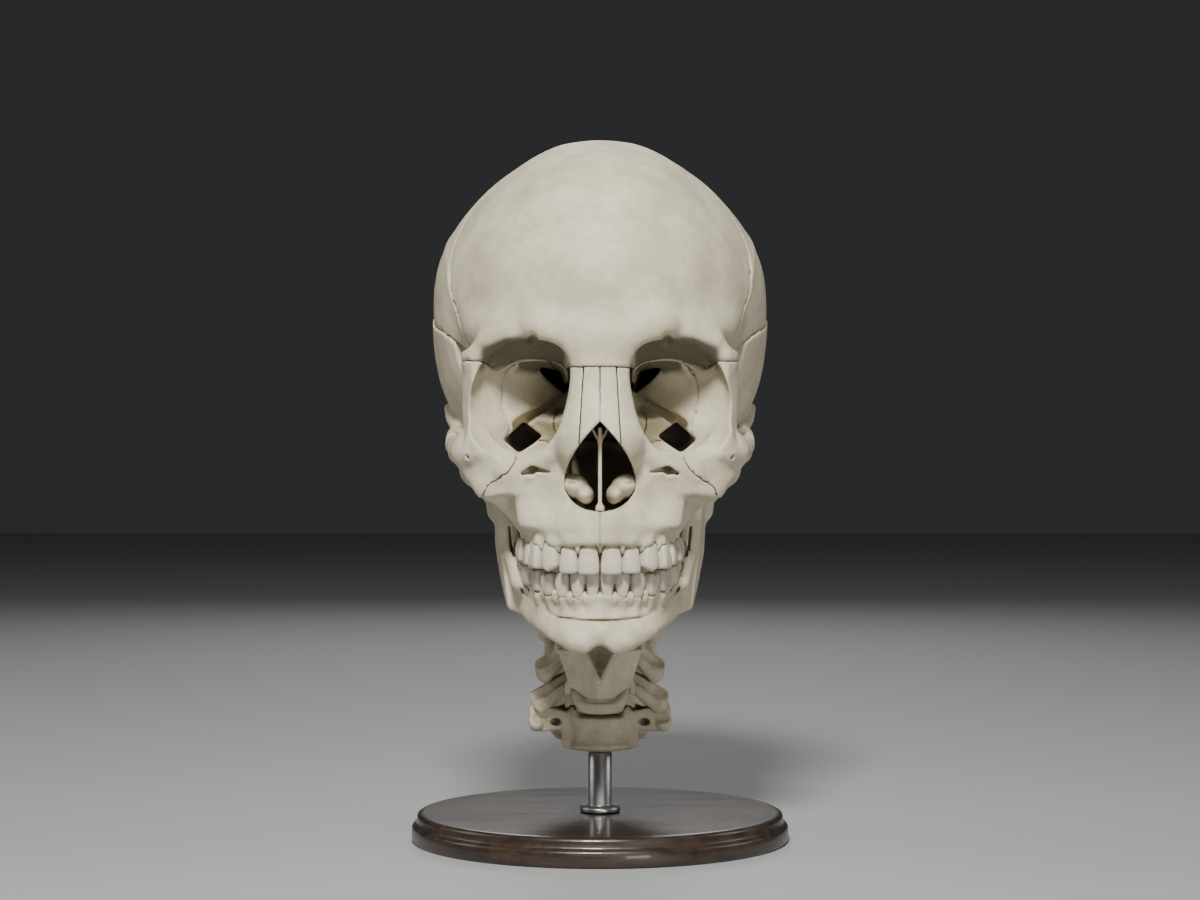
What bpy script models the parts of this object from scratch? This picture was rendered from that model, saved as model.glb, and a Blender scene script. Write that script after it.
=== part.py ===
"""Human skull with the neck bones, as a life-size still model on a plain display stand.

Run in Blender 4.5. The script clears the scene's objects and builds one closed mesh object for each bone.
Every bone is described by a signed distance: a number that is negative inside the bone, zero on its skin and
positive outside. A Form holds such a distance as a node group, put together from ellipsoids, bars, blocks and
planes, and Blender turns the place where the number is zero into a mesh.
Lengths are millimetres in the forms and metres in the scene. The skull's own frame has its origin midway
between the ear openings, with x across, y to the back and z up. The skull is the same on both sides, so most
forms are written for x above zero and mirrored.
"""

import math

import bmesh
import bpy
from mathutils import Vector

MM = 0.001

# Driving sizes, in millimetres.
HEAD_HALF_WIDTH = 71.0
HEAD_HALF_LENGTH = 89.5
HEAD_HALF_HEIGHT = 69.0
HEAD_CENTRE_Z = 58.0
FACE_HALF_WIDTH = 60.0
FACE_FRONT_Y = -88.0
BROW_Z = 46.0
ORBIT_INNER_X = 13.0
ORBIT_OUTER_X = 52.0
ORBIT_TOP_Z = 39.0
ORBIT_FLOOR_Z = -8.2
NOSE_TOP_Z = 6.6
NOSE_SILL_Z = -28.8
NOSE_HALF_WIDTH = 14.3
DENTAL_HALF_WIDTH = 32.4
DENTAL_FRONT_Y = -96.0
UPPER_EDGE_Z = -53.3
BITE_SLOPE = 0.14
CHIN_Z = -83.6
JAW_HALF_WIDTH = 42.8
NECK_FOOT_Z = -132.0
SUTURE_GAP = 0.7
JOINT_GAP = 0.8

# The stand, and where the skull's frame sits above it.
BASE_RADIUS = 80.0
BASE_HEIGHT = 12.0
ROD_RADIUS = 5.0
ROD_LENGTH = 26.0
PIN_RADIUS = 1.4
TOUCH_GAP = 0.35
LIFT = BASE_HEIGHT + ROD_LENGTH - NECK_FOOT_Z
SHIFT_Y = 6.0

BONE = (0.72, 0.69, 0.60)
FACE_BONE = (0.74, 0.70, 0.61)
NECK_BONE = (0.66, 0.62, 0.53)
GRISTLE = (0.58, 0.56, 0.49)
EBONY = (0.045, 0.036, 0.030)
STEEL = (0.62, 0.62, 0.60)


class Field:
    """A number at every point of space, so that shapes are written as plain sums."""

    def __init__(self, form, socket):
        self.form = form
        self.socket = socket

    def __add__(self, other):
        return self.form.math("ADD", self, other)

    __radd__ = __add__

    def __sub__(self, other):
        return self.form.math("SUBTRACT", self, other)

    def __rsub__(self, other):
        return self.form.math("SUBTRACT", other, self)

    def __mul__(self, other):
        return self.form.math("MULTIPLY", self, other)

    __rmul__ = __mul__

    def __truediv__(self, other):
        return self.form.math("DIVIDE", self, other)

    def __neg__(self):
        return self.form.math("MULTIPLY", self, -1.0)


class Form:
    """A node group that holds the signed distance to one shape, in millimetres."""

    def __init__(self, name):
        self.tree = bpy.data.node_groups.new(name, "GeometryNodeTree")
        self.tree.interface.new_socket("Distance", in_out="OUTPUT", socket_type="NodeSocketFloat")
        place = self.node("GeometryNodeInputPosition")
        place = self.vector("SCALE", place, scale=1.0 / MM)
        place = self.vector("SUBTRACT", place, (0.0, SHIFT_Y, LIFT))
        self.side, self.y, self.z = self.split(place)
        self.x = self.math("ABSOLUTE", self.side)
        self.point = self.join(self.x, self.y, self.z)

    def node(self, kind, values=(), output=0, **settings):
        made = self.tree.nodes.new(kind)
        for key, value in settings.items():
            setattr(made, key, value)
        for slot, value in dict(values).items():
            if isinstance(value, Field):
                self.tree.links.new(value.socket, made.inputs[slot])
            else:
                made.inputs[slot].default_value = value
        return Field(self, made.outputs[output])

    def math(self, operation, *values, clamp=False):
        return self.node("ShaderNodeMath", enumerate(values), operation=operation, use_clamp=clamp)

    def vector(self, operation, *values, scale=None):
        slots = dict(enumerate(values))
        if scale is not None:
            slots["Scale"] = scale
        number = operation in ("LENGTH", "DOT_PRODUCT")
        return self.node("ShaderNodeVectorMath", slots, output=int(number), operation=operation)

    def split(self, value):
        made = self.tree.nodes.new("ShaderNodeSeparateXYZ")
        self.tree.links.new(value.socket, made.inputs[0])
        return [Field(self, socket) for socket in made.outputs]

    def join(self, x, y, z):
        return self.node("ShaderNodeCombineXYZ", enumerate((x, y, z)))

    def use(self, other):
        made = self.tree.nodes.new("GeometryNodeGroup")
        made.node_tree = other.tree
        return Field(self, made.outputs[0])

    def done(self, field):
        out = self.tree.nodes.new("NodeGroupOutput")
        self.tree.links.new(field.socket, out.inputs[0])
        return self

    def local(self, centre, turn=None, point=None):
        """The point as seen from a centre, and from axes turned by so many degrees about x, y and z."""
        moved = self.vector("SUBTRACT", point or self.point, tuple(centre))
        if turn:
            angles = tuple(math.radians(angle) for angle in turn)
            moved = self.node("ShaderNodeVectorRotate", {"Vector": moved, "Rotation": angles},
                              rotation_type="EULER_XYZ", invert=True)
        return moved

    def ellipsoid(self, centre, radii, turn=None, point=None):
        local = self.local(centre, turn, point)
        unit = self.vector("LENGTH", self.vector("DIVIDE", local, tuple(radii)))
        slope = self.vector("LENGTH", self.vector("DIVIDE", local, tuple(r * r for r in radii)))
        return unit * (unit - 1.0) / self.math("MAXIMUM", slope, 1e-4)

    def column(self, centre_y, half_x, half_y):
        """An upright column whose plan is an ellipse."""
        return self.ellipsoid((0.0, centre_y, 0.0), (half_x, half_y, 1000.0), point=self.join(self.x, self.y, 0.0))

    def block(self, centre, half, radius, turn=None):
        """A box with rounded edges."""
        corner = self.vector("ABSOLUTE", self.local(centre, turn))
        corner = self.vector("SUBTRACT", corner, tuple(h - radius for h in half))
        outside = self.vector("LENGTH", self.vector("MAXIMUM", corner, (0.0, 0.0, 0.0)))
        inside = self.math("MINIMUM", self.most(*self.split(corner)), 0.0)
        return outside + inside - radius

    def bar(self, start, end, r0, r1=None, flat=None):
        """A round bar that tapers from one radius to another; flat stretches its section along the axes."""
        point = self.point
        if flat:
            point = self.vector("DIVIDE", point, tuple(flat))
            start, end = [tuple(c / f for c, f in zip(knot, flat)) for knot in (start, end)]
        along = Vector(end) - Vector(start)
        point = self.vector("SUBTRACT", point, tuple(start))
        share = self.math("DIVIDE", self.vector("DOT_PRODUCT", point, tuple(along)), along.length_squared, clamp=True)
        axis = self.vector("SCALE", tuple(along), scale=share)
        gone = self.vector("LENGTH", self.vector("SUBTRACT", point, axis))
        return gone - self.math("MULTIPLY_ADD", share, (r0 if r1 is None else r1) - r0, r0)

    def chain(self, knots, flat=None):
        """Bars from knot to knot, each knot with its place and its radius."""
        return self.union(*[self.bar(a[:3], b[:3], a[3], b[3], flat) for a, b in zip(knots, knots[1:])])

    def plane(self, centre, normal):
        """The side of a plane: positive where the normal points."""
        unit = Vector(normal).normalized()
        return self.vector("DOT_PRODUCT", self.vector("SUBTRACT", self.point, tuple(centre)), tuple(unit))

    def fold(self, operation, smooth, fields, blend):
        found = fields[0]
        for other in fields[1:]:
            found = self.math(smooth, found, other, blend) if blend else self.math(operation, found, other)
        return found

    def union(self, *fields, blend=0.0):
        return self.fold("MINIMUM", "SMOOTH_MIN", fields, blend)

    def most(self, *fields, blend=0.0):
        """What all the fields share."""
        return self.fold("MAXIMUM", "SMOOTH_MAX", fields, blend)

    def cut(self, body, tool, blend=0.0):
        return self.most(body, -tool, blend=blend)

    def ramp(self, value, start, end, low, high):
        """A number that eases from low to high as the value goes from start to end."""
        return self.node("ShaderNodeMapRange", {"Value": value, "From Min": start, "From Max": end,
                                                "To Min": low, "To Max": high}, interpolation_type="SMOOTHSTEP")


def vault():
    f = Form("vault")
    whole = f.union(
        f.ellipsoid((0, 2, HEAD_CENTRE_Z), (HEAD_HALF_WIDTH, HEAD_HALF_LENGTH, HEAD_HALF_HEIGHT), turn=(-3, 0, 0)),
        f.ellipsoid((0, -31, 63), (57, 65, 57)),
        f.ellipsoid((0, 10, 36), (HEAD_HALF_WIDTH - 1.8, 78, 58)),
        f.ellipsoid((20, 44, 4), (30, 34, 26)), f.ellipsoid((0, 62, 12), (26, 24, 22)), blend=12.0)
    inion = f.ellipsoid((0, 80, 1), (10, 7, 6))
    gable = 2.4 * f.ramp(f.z, 68, 105, 0.0, 1.0) * f.ramp(f.x, 14, 40, 0.0, 1.0)
    return f.done(f.union(whole, inion, blend=14.0) + gable)


def brow():
    f = Form("brow")
    ridge = f.ellipsoid((0, -46, BROW_Z), (57, 45.5, 20))
    corner = f.chain([(34, -80, 42.5, 6), (44, -74, 39, 5.2), (50.5, -67, 31, 4)])
    arch = f.ellipsoid((16, -86, 43), (15, 8, 8), turn=(0, -14, -8))
    glabella = f.ellipsoid((0, -86, 39), (16, 11, 12))
    nasion = f.ellipsoid((0, -82, 30), (13, 12, 14))
    return f.done(f.union(ridge, corner, arch, glabella, nasion, blend=9.0))


def cheek():
    f = Form("cheek")
    skin = f.column(-44, FACE_HALF_WIDTH + 0.5, 45.0)
    body = f.most(skin, -(skin + 7.5), f.plane((0, -56, 0), (0, 1, 0)), f.plane((47.7, 0, -24.5), (19, 0, -15.3)),
                  f.plane((47.7, 0, -24.0), (-0.14, 0, -1)), f.plane((30, 0, 0), (-1, 0, 0)),
                  f.plane((0, 0, 2), (0, 0, 1)), blend=3.5)
    pillar = f.most(f.block((50.5, -66.0, 14), (3.2, 8.0, 22), 2.5, turn=(0, 3, -24)),
                    f.plane((0, 0, 36), (0, 0, 1)))
    corner = f.chain([(49, -69, 2, 4.5), (50, -66, -5, 6), (55, -60, -5, 5.2)])
    wall = f.block((36, -54.5, 13), (18, 3.0, 21), 2.8, turn=(0, 0, -32))
    arch = f.chain([(55, -60, -5, 6.5), (59.2, -50, -4.0, 5.2), (61.0, -39, -2.5, 4.4), (61.6, -26, -0.5, 4.0),
                    (60.8, -12, 1.5, 4.2), (58.5, 0, 3, 4.5)], flat=(0.6, 1, 1))
    return f.done(f.union(body, corner, pillar, wall, arch, blend=4.0))


def upper_jaw():
    f = Form("upper jaw")
    rim = f.chain([(15.5, -86.5, 14, 3.4), (16.5, -86.5, 3, 4.4), (20, -84.5, -5.5, 4.8), (27, -81.0, -11.0, 5.0),
                   (36, -75.5, -13.5, 5.0)])
    body = f.most(f.column(-44, FACE_HALF_WIDTH, -44 - FACE_FRONT_Y), f.plane((34, 0, -25), (1, 0, -0.12)),
                  f.plane((0, 0, -7), (0, 0, 1)), f.plane((0, 0, -36), (0, 0, -1)),
                  f.plane((0, -46, 0), (0, 1, 0)), blend=5.0)
    nose = f.most(f.bar((0, -83.5, 34), (0, -88.0, 0), 10.0, 17.0, flat=(1.06, 1, 1)),
                  f.plane((0, -84, 0), (0, 1, -0.2)), blend=2.0)
    buttress = f.chain([(44, -68, -19, 5), (37, -66, -23, 6.0), (30, -60, -32, 5)])
    arch = f.most(f.column(-51, DENTAL_HALF_WIDTH, -51 - DENTAL_FRONT_Y), f.plane((0, 0, -27), (0, 0, 1)),
                  f.plane((0, -44, 0), (0, 1, 0)), blend=5.0)
    arch = f.most(arch, f.plane((0, -60, -46.4), (0, -BITE_SLOPE, -1)), blend=2.0)
    spine = f.bar((0, -90, -28), (0, -97.5, -27), 3.4, 1.2)
    sill = f.ellipsoid((0, -84, -34), (22, 11.5, 8))
    between = f.block((0, -68, 14), (12.0, 20, 15), 4)
    return f.done(f.union(body, rim, nose, buttress, arch, spine, sill, between, blend=5.0))


def skull_base():
    f = Form("skull base")
    body = f.ellipsoid((0, -30, 4), (20, 24, 16))
    outer_plate = f.chain([(17, -40, -4, 3), (21, -33, -26, 1.8)], flat=(0.6, 2.6, 1))
    inner_plate = f.chain([(12.5, -42, -4, 3), (13.5, -40, -30, 1.8)], flat=(0.6, 2.2, 1))
    mastoid = f.chain([(53, 12, 4, 10.2), (51.5, 10, -12, 8.8), (45.5, 6, -23, 5)])
    basilar = f.chain([(0, -20, -4, 11), (0, 0, -16, 7)])
    condyle = f.ellipsoid((14, 8, -23.5), (5.5, 12, 6.5), turn=(0, 0, -25))
    eminence = f.chain([(40, -25, -2, 5), (59, -24, 0, 4)])
    drum = f.chain([(58, -3, -5, 6), (42, -5, -8, 6)])
    spike = f.bar((41, -2, -8), (38, -9, -30), 3, 1.1)
    core = f.union(body, outer_plate, inner_plate, blend=4.0)
    return f.done(f.union(core, mastoid, basilar, condyle, eminence, drum, spike, blend=5.0))


def orbit_hole():
    """The eye socket: a rounded square that leans, narrows to the back and turns to the middle."""
    f = Form("orbit hole")
    lateral = f.ramp(f.y, -70, -42, ORBIT_OUTER_X, 18.0)
    medial = f.ramp(f.y, -86, -42, ORBIT_INNER_X, 12.6)
    top = f.ramp(f.y, -84, -42, ORBIT_TOP_Z, 27.0)
    floor = f.ramp(f.y, -82, -46, ORBIT_FLOOR_Z, 11.0)
    half_x = (lateral - medial) * 0.5
    half_z = (top - floor) * 0.5
    lean = f.ramp(f.y, -80, -50, 0.20, 0.0)
    up = f.z - (top + floor) * 0.5
    across = f.math("ABSOLUTE", f.x - (lateral + medial) * 0.5 + up * lean) / half_x
    up = f.math("ABSOLUTE", up) / half_z
    power = 2.7
    size = f.math("POWER", f.math("POWER", across, power) + f.math("POWER", up, power), 1.0 / power)
    side = (size - 1.0) * f.math("MINIMUM", half_x, half_z)
    return f.done(f.most(side, f.plane((0, -42, 0), (0, 1, 0)), blend=4.0))


def nose_hole():
    """The pear-shaped opening, with the two airways behind it."""
    f = Form("nose hole")
    height = NOSE_TOP_Z - NOSE_SILL_Z
    share = f.math("MULTIPLY", f.z - NOSE_SILL_Z, 1.0 / height, clamp=True)
    width = 2.53 * NOSE_HALF_WIDTH * f.math("POWER", share, 0.5) * (1.0 - share)
    opening = f.most(f.x - width, f.plane((0, -76, 0), (0, 1, 0)), NOSE_SILL_Z - f.z, f.z - NOSE_TOP_Z)
    cavity = f.block((0, -67, -16.5), (12.5, 20, 12.5), 6)
    upper = f.block((0, -72, 6), (7.0, 20, 16), 4)
    return f.done(f.union(opening, cavity, upper))


def head():
    """All bones of the head but the lower jaw, in one piece."""
    f = Form("head")
    skull = f.union(f.use(vault()), f.use(brow()), blend=9.0)
    skull = f.union(skull, f.use(skull_base()), blend=5.0)
    skull = f.union(skull, f.use(cheek()), f.use(upper_jaw()), blend=5.0)
    skull = f.cut(skull, f.use(orbit_hole()), blend=2.0)
    skull = f.cut(skull, f.use(nose_hole()), blend=1.0)
    holes = (
        (f.bar((75, 1, -1), (50, -2, -3), 3.6), 1.0),
        (f.ellipsoid((48.5, -12.5, -7.0), (11.0, 7.5, 6.0)), 2.0),
        (f.ellipsoid((0, 20, -24), (15, 18, 26)), 3.0),
        (f.ellipsoid((0, -55, -45), (19, 27, 13)), 4.0),
        (f.ellipsoid((31.5, -58, 1.8), (8.4, 20, 5.8), turn=(0, 16, -28)), 1.0),
        (f.bar((31, -60, 1.5), (35, -38, -5), 4.4, flat=(1.5, 1, 1)), 1.0),
        (f.ellipsoid((25, -92, -24), (9, 9.5, 10)), 6.0),
        (f.ellipsoid((74, -52, 28), (17, 20, 34)), 9.0),
        (f.chain([(15.5, -44, 19, 1.6), (19.5, -45, 24, 2.9), (25.5, -48, 28.0, 1.7)], flat=(1, 3.5, 1)), 1.0),
        (f.bar((29, -96, -17), (27, -78, -9), 1.9), 1.5))
    for tool, blend in holes:
        skull = f.cut(skull, tool, blend=blend)
    return f.done(skull)


def lower_jaw():
    f = Form("lower jaw")
    front = f.ramp(f.y, -82, -60, 1.0, 0.0)
    dip = 4.2 * f.ramp(f.z, -77, -67, 0.0, 1.0) * f.ramp(f.z, -67, -59, 1.0, 0.15)
    tuck = 0.8 + 3.2 * f.ramp(f.z, -38, -68, 0.0, 1.0)
    skin = f.column(-10, JAW_HALF_WIDTH, 80.5) + dip * front + tuck * (1.0 - front)
    thick = f.ramp(f.y, -85, -20, 13.0, 8.5)
    border = (f.y + 15.0) * 0.451 - 57.0 + (f.y + 15.0) * (f.y + 50.0) * 0.00256 + f.x * f.x * front * 0.007
    foot = (border - 2.0 * front - f.z) * 0.93
    body = f.most(skin, -(skin + thick), foot, f.plane((0, -14, 0), (0, 1, 0)), blend=6.0)
    body = f.most(body, f.plane((0, -87, -61.4), (0, -0.25, 1)), blend=2.2)
    chin = f.union(f.ellipsoid((0, -87.0, -76.0), (5, 4.8, 4.6)),
                   f.ellipsoid((7.6, -85.4, CHIN_Z + 4.2), (6.2, 5.6, 4.2)), blend=4.0)
    lean = 40.8 + (f.z + 33.0) * 0.06 + (f.y + 27.0) * 0.10 - tuck * 0.6
    slab = f.math("ABSOLUTE", f.x - lean) - f.ramp(f.z, -55, -15, 3.8, 2.4)
    outline = f.most(f.plane((0, -46.5, -57), (0, -45, 4)), f.plane((0, -16.0, -57), (0, 45, -6)),
                     f.plane((0, 0, -3.5), (0, 0, 1)), foot, blend=9.0)
    ramus = f.most(slab, outline, -f.ellipsoid((44, -25.5, -4), (30, 8.6, 15)), blend=3.0)
    line = f.chain([(37.5, -42, -26, 3.0), (35.5, -46, -46, 4.0), (32.5, -56, -58, 4.0)])
    knob = f.ellipsoid((48.0, -12.5, -6.4), (9.0, 4.4, 4.2))
    neck = f.bar((43.5, -15.5, -30), (46.5, -12.8, -9), 4.2, 3.6)
    whole = f.cut(f.union(body, chin, blend=6.0), f.ellipsoid((0, -88, -88.2), (4.6, 12, 6.6)), blend=4.0)
    return f.done(f.union(whole, ramus, line, neck, knob, blend=5.0))


# Teeth from the middle to the back: place across and along, width, depth, height, turn, lean.
UPPER_TEETH = (
    (4.5, -92.0, 7.9, 7.0, 11.0, 3, 8), (12.4, -89.6, 6.8, 6.3, 10.5, 20, 7), (19.4, -84.8, 7.2, 8.0, 11.0, 42, 5),
    (24.0, -78.2, 6.6, 8.8, 9.5, 64, 3), (26.6, -71.2, 6.6, 9.0, 9.0, 75, 2), (28.4, -62.6, 9.8, 11.0, 8.6, 83, 2),
    (29.4, -52.8, 9.2, 11.0, 8.0, 87, 2))
LOWER_TEETH = (
    (2.9, -86.6, 5.3, 6.0, 9.5, 3, 4), (8.8, -85.4, 5.8, 6.3, 9.5, 14, 4), (14.4, -81.6, 6.4, 7.6, 10.5, 36, 3),
    (19.4, -77.0, 6.6, 7.6, 9.0, 56, 1), (23.2, -71.0, 6.8, 8.0, 8.6, 68, -2), (26.4, -62.2, 10.4, 10.3, 8.0, 77, -4),
    (28.8, -52.2, 10.0, 10.2, 7.6, 79, -6))


def teeth(name, rows, sign):
    """A row of teeth; sign is 1 for the upper jaw, whose roots go up, and -1 for the lower."""
    f = Form(name)
    found = []
    for place, (x, y, width, depth, height, turn, lean) in enumerate(rows):
        front = place < 3
        edge = UPPER_EDGE_Z + BITE_SLOPE * (y - rows[0][1])
        if sign < 0:
            edge += 1.2 if front else -0.8
        gum = edge + sign * height
        tilt = (-sign * lean, 0, turn)
        crown = f.block((x, y, edge + sign * height * 0.34), (width * 0.49, depth * (0.35 if front else 0.48),
                                                             height * 0.34), min(width * 0.4, 2.0), turn=tilt)
        collar = f.ellipsoid((x, y + 0.4, edge + sign * height * 0.60), (width * 0.45, depth * 0.50, height * 0.56),
                             turn=tilt)
        root = f.bar((x * 0.99, y + 1.2, gum - sign * 1.5), (x * 0.93, y + 3.0, gum + sign * 7), width * 0.34,
                     width * 0.2)
        found.append(f.union(f.union(crown, collar, blend=1.5), root, blend=2.0))
    return f.done(f.union(*found))


# Neck bones by level: body's place along and up, half width, depth, height, tip's x and z, length to the rear.
NECK = {
    3: (-9.0, -78.0, 9.5, 15.0, 13.0, 26.8, -80.0, 34.0), 4: (-9.2, -93.5, 9.8, 15.0, 13.0, 27.6, -97.0, 34.0),
    5: (-9.5, -109.0, 10.6, 15.0, 13.0, 29.1, -110.0, 36.0), 6: (-10.0, -124.2, 12.3, 16.0, 14.0, 30.6, -118.0, 42.0)}


def wing(f, level):
    """The side wing of a neck bone, a plate that rises to the joint pillar and ends in two knobs."""
    y, z, width, depth, height, tip, tip_z, back = NECK[level]
    if level == 6:
        sides = (f.plane((25, 0, -124.1), (8.1, 0, -5.4)), f.plane((30.4, 0, -116), (4.2, 0, 1.1)),
                 f.plane((29.3, 0, -111.8), (-3.7, 0, 16.3)), f.plane((25, 0, -124.1), (-1.2, 0, -8.9)))
    else:
        sides = (f.plane((tip - 0.8, 0, tip_z + 3), (8, 0, tip - 15.8)), f.plane((tip, 0, tip_z), (6, 0, -1.5)),
                 f.plane((tip - 4.2, 0, tip_z - 6.5), (6, 0, -4.5)),
                 f.plane((tip - 4.2, 0, tip_z - 6.5), (-5, 0, 18.2 - tip)))
    return f.most(*sides, f.plane((11.5, 0, 0), (-1, 0, 0)), f.plane((0, y - 2.5, z), (0, -1, 0.1)),
                  f.plane((0, y + 9.5, 0), (0, 1, 0)), blend=2.0)


def vertebra(level):
    """A neck bone from the third to the sixth: body, side wings with their hole, joint pillars and forked spine."""
    y, z, width, depth, height, tip, tip_z, back = NECK[level]
    f = Form("vertebra %d" % level)
    body = f.most(f.column(y, width, depth / 2), f.plane((0, y, z + height / 2), (0, -0.08, 1)),
                  f.plane((0, y, z - height / 2), (0, -0.08, -1)), blend=3.0)
    hook = f.ellipsoid((width * 0.86, y + 1.5, z + height * 0.42), (2.3, 5.5, 4.2), turn=(0, 12, 0))
    lip = f.ellipsoid((0, y - 2, z - height * 0.40), (width * 0.97, depth * 0.54, 2.2))
    trough = f.bar((width + 1, y + 3.6, z + 10), (tip + 3, y + 4.0, tip_z + 3.0), 2.3)
    middle, tall = (z + 6.5, 5.2) if level == 6 else (z + 0.5, 8.9)
    pillar = f.block((18.2, y + 15, middle), (5.8, 5.0, tall), 3.2, turn=(-28, 0, 0))
    pedicle = f.bar((width * 0.9, y + 6, z + 2), (18, y + 12, z + 1), 3.8)
    lamina = f.bar((18, y + 19, z), (3.0, y + 31, z - 2), 3.0, flat=(1, 0.8, 1.7))
    spine = f.bar((0, y + 30, z - 2), (0, y + back, z - 6), 3.0, 2.6, flat=(0.9, 1, 1.4))
    fork = f.bar((0, y + back - 3, z - 5), (3.6, y + back + 4, z - 8), 2.6, 1.8)
    knob = f.ellipsoid((tip - 3.6, y - 2.2, tip_z - 1.6), (3.2, 3.6, 4.2))
    side = f.cut(f.union(wing(f, level), knob, blend=1.5), trough, blend=2.0)
    if level < 6:
        ridge = f.chain([(tip - 4.6, y - 3.6, tip_z - 3.4, 2.6), (15.5, y - 4.6, tip_z + 4.6, 2.0),
                         (width * 0.8, y - 3.5, z + 3.5, 2.2)])
        hollow = f.ellipsoid((tip - 5.0, y - 4.8, tip_z + 4.6), (6.5, 4.6, 2.6), turn=(0, 40, 0))
        side = f.union(f.cut(side, hollow, blend=1.5), ridge, blend=1.6)
    root = f.block((width + 0.6, y + 2.5, z - 0.5), (3.6, 4.0, height * 0.5 - 0.6), 2.0)
    whole = f.union(body, hook, lip, pedicle, root, blend=2.6)
    whole = f.union(whole, side, pillar, lamina, spine, fork, blend=2.5)
    hole = f.bar((18.0, y + 3.8, z - 30), (18.0, y + 3.8, z + 30), 2.4)
    whole = f.cut(whole, hole, blend=1.0)
    if level == 6:
        whole = f.cut(whole, f.bar((17.2, y - 6, -119.4), (20.8, y + 5, -120.0), 1.5, flat=(1.6, 1, 1)), blend=0.8)
    return f.done(whole)


def atlas():
    f = Form("atlas")
    mass = f.block((19, 4, -37), (7.5, 10, 6.6), 5, turn=(0, 8, -18))
    arch = f.chain([(17, -3, -37.5, 4.5), (9, -10, -38, 4.2), (0, -12.5, -38.5, 5)], flat=(1, 0.75, 1.2))
    rear = f.chain([(20, 12, -38, 4.4), (17, 24, -39, 4.0), (9, 33, -39.5, 3.8), (0, 36, -40, 4.8)])
    wing = f.chain([(22, 4, -38, 5), (36, 6, -39, 4.2)], flat=(1, 1.2, 1))
    whole = f.union(mass, arch, rear, wing, blend=4.0)
    whole = f.cut(whole, f.bar((28.5, 5, -60), (28.5, 5, -10), 2.8), blend=1.0)
    cup = f.ellipsoid((14.6, 7.6, -23.2), (6.6, 13.2, 7.4), turn=(0, 0, -25))
    return f.done(f.cut(whole, cup, blend=0.8))


def axis():
    f = Form("axis")
    body = f.most(f.column(-6.5, 9.6, 8.0), f.plane((0, 0, -50), (0, 0, 1)), f.plane((0, 0, -69), (0, -0.08, -1)),
                  blend=3.0)
    dens = f.bar((0, -4.0, -54), (0, -3.0, -34.5), 5.0, 3.8)
    face = f.ellipsoid((15.5, 1.5, -54.0), (9, 9, 4.0), turn=(0, 22, 0))
    wing = f.chain([(16, 3, -58, 4), (25.5, 6, -62, 3.2)])
    pillar = f.block((20, 9.5, -64.5), (5.0, 5.0, 8.4), 3.2, turn=(-26, 0, 0))
    lamina = f.bar((18, 13, -60), (3, 28, -62), 3.4, flat=(1, 0.9, 2.0))
    spine = f.bar((0, 27, -61.5), (0, 37, -64), 3.6, flat=(0.9, 1, 1.6))
    fork = f.bar((0, 33, -65), (5.2, 42, -68), 3.4, 2.6)
    whole = f.union(body, dens, face, wing, pillar, lamina, spine, fork, blend=3.0)
    return f.done(f.cut(whole, f.bar((20.5, 3.5, -90), (20.5, 3.5, -40), 2.6), blend=1.0))


def thyroid():
    """The shield of the voice box: two plates that meet in a keel, notched at the top."""
    f = Form("thyroid cartilage")
    plate = f.block((9.2, -36.0, -97.5), (12.5, 1.1, 10.5), 0.9, turn=(10, 0, 49))
    plate = f.most(plate, f.plane((0, 0, -87.2), (0, 0, 1)), f.plane((18, 0, -87), (16.6, 0, -5.6)),
                   f.plane((0, -45, -106.7), (0, -0.15, -1)), blend=1.0)
    keel = f.bar((0, -45.0, -98.5), (0, -43.5, -106), 1.4, 1.2)
    notch = f.most(f.plane((6.0, 0, -87.4), (11, 0, -5.8)), f.plane((0, -38, 0), (0, 1, 0)))
    rim = f.chain([(6.4, -41.6, -88.0, 1.4), (1.3, -46.2, -99.4, 1.8)])
    horn = f.chain([(17.2, -27.0, -88, 1.8), (17.4, -24, -80.5, 1.5)])
    foot = f.chain([(13.0, -32.0, -102, 1.6), (13.4, -30.5, -105.0, 1.3)])
    whole = f.union(f.cut(f.union(plate, keel, blend=1.5), notch, blend=0.8), rim, blend=1.0)
    return f.done(f.union(whole, horn, foot, blend=1.5))


def cricoid():
    """The ring under the shield, higher at the back, like a signet ring."""
    f = Form("cricoid cartilage")
    skin = f.column(-33, 11.4, 11.0)
    top = f.ramp(f.y, -44, -24, -109.0, -100.6)
    foot = f.ramp(f.y, -44, -31, -113.4, -107.4) + f.ramp(f.y, -30, -22, 0.0, -4.0)
    return f.done(f.most(skin, -(skin + 3.2), f.z - top, foot - f.z, blend=1.2))


def concha():
    """The scroll that hangs in each side of the nose."""
    f = Form("nasal concha")
    scroll = f.union(f.ellipsoid((10.2, -78.0, -18.8), (6.0, 12.0, 4.8), turn=(0, -16, 0)),
                     f.ellipsoid((6.2, -77.5, -22.0), (3.8, 12.0, 4.2), turn=(0, 20, 0)), blend=1.6)
    hollow = f.ellipsoid((10.4, -78, -28.4), (5.2, 14, 4.4), turn=(0, -10, 0))
    return f.done(f.most(f.cut(scroll, hollow, blend=1.0), 1.7 - f.x))


def vomer():
    """The thin wall that parts the two airways."""
    f = Form("vomer")
    return f.done(f.block((0, -73, -12.5), (0.95, 18, 17.0), 0.8))


def rounded_rod(name, start, end, radius):
    f = Form(name)
    return f.done(f.bar(start, end, radius))


def clear_of(name, form, *others, gap=JOINT_GAP, side=0):
    """The form cut back so that it stays a gap away from the others, and kept to one side if one is given."""
    f = Form(name)
    found = f.use(form)
    for other in others:
        found = f.most(found, gap - f.use(other))
    if side:
        found = f.most(found, f.side * -side)
    return f.done(found)


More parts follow.
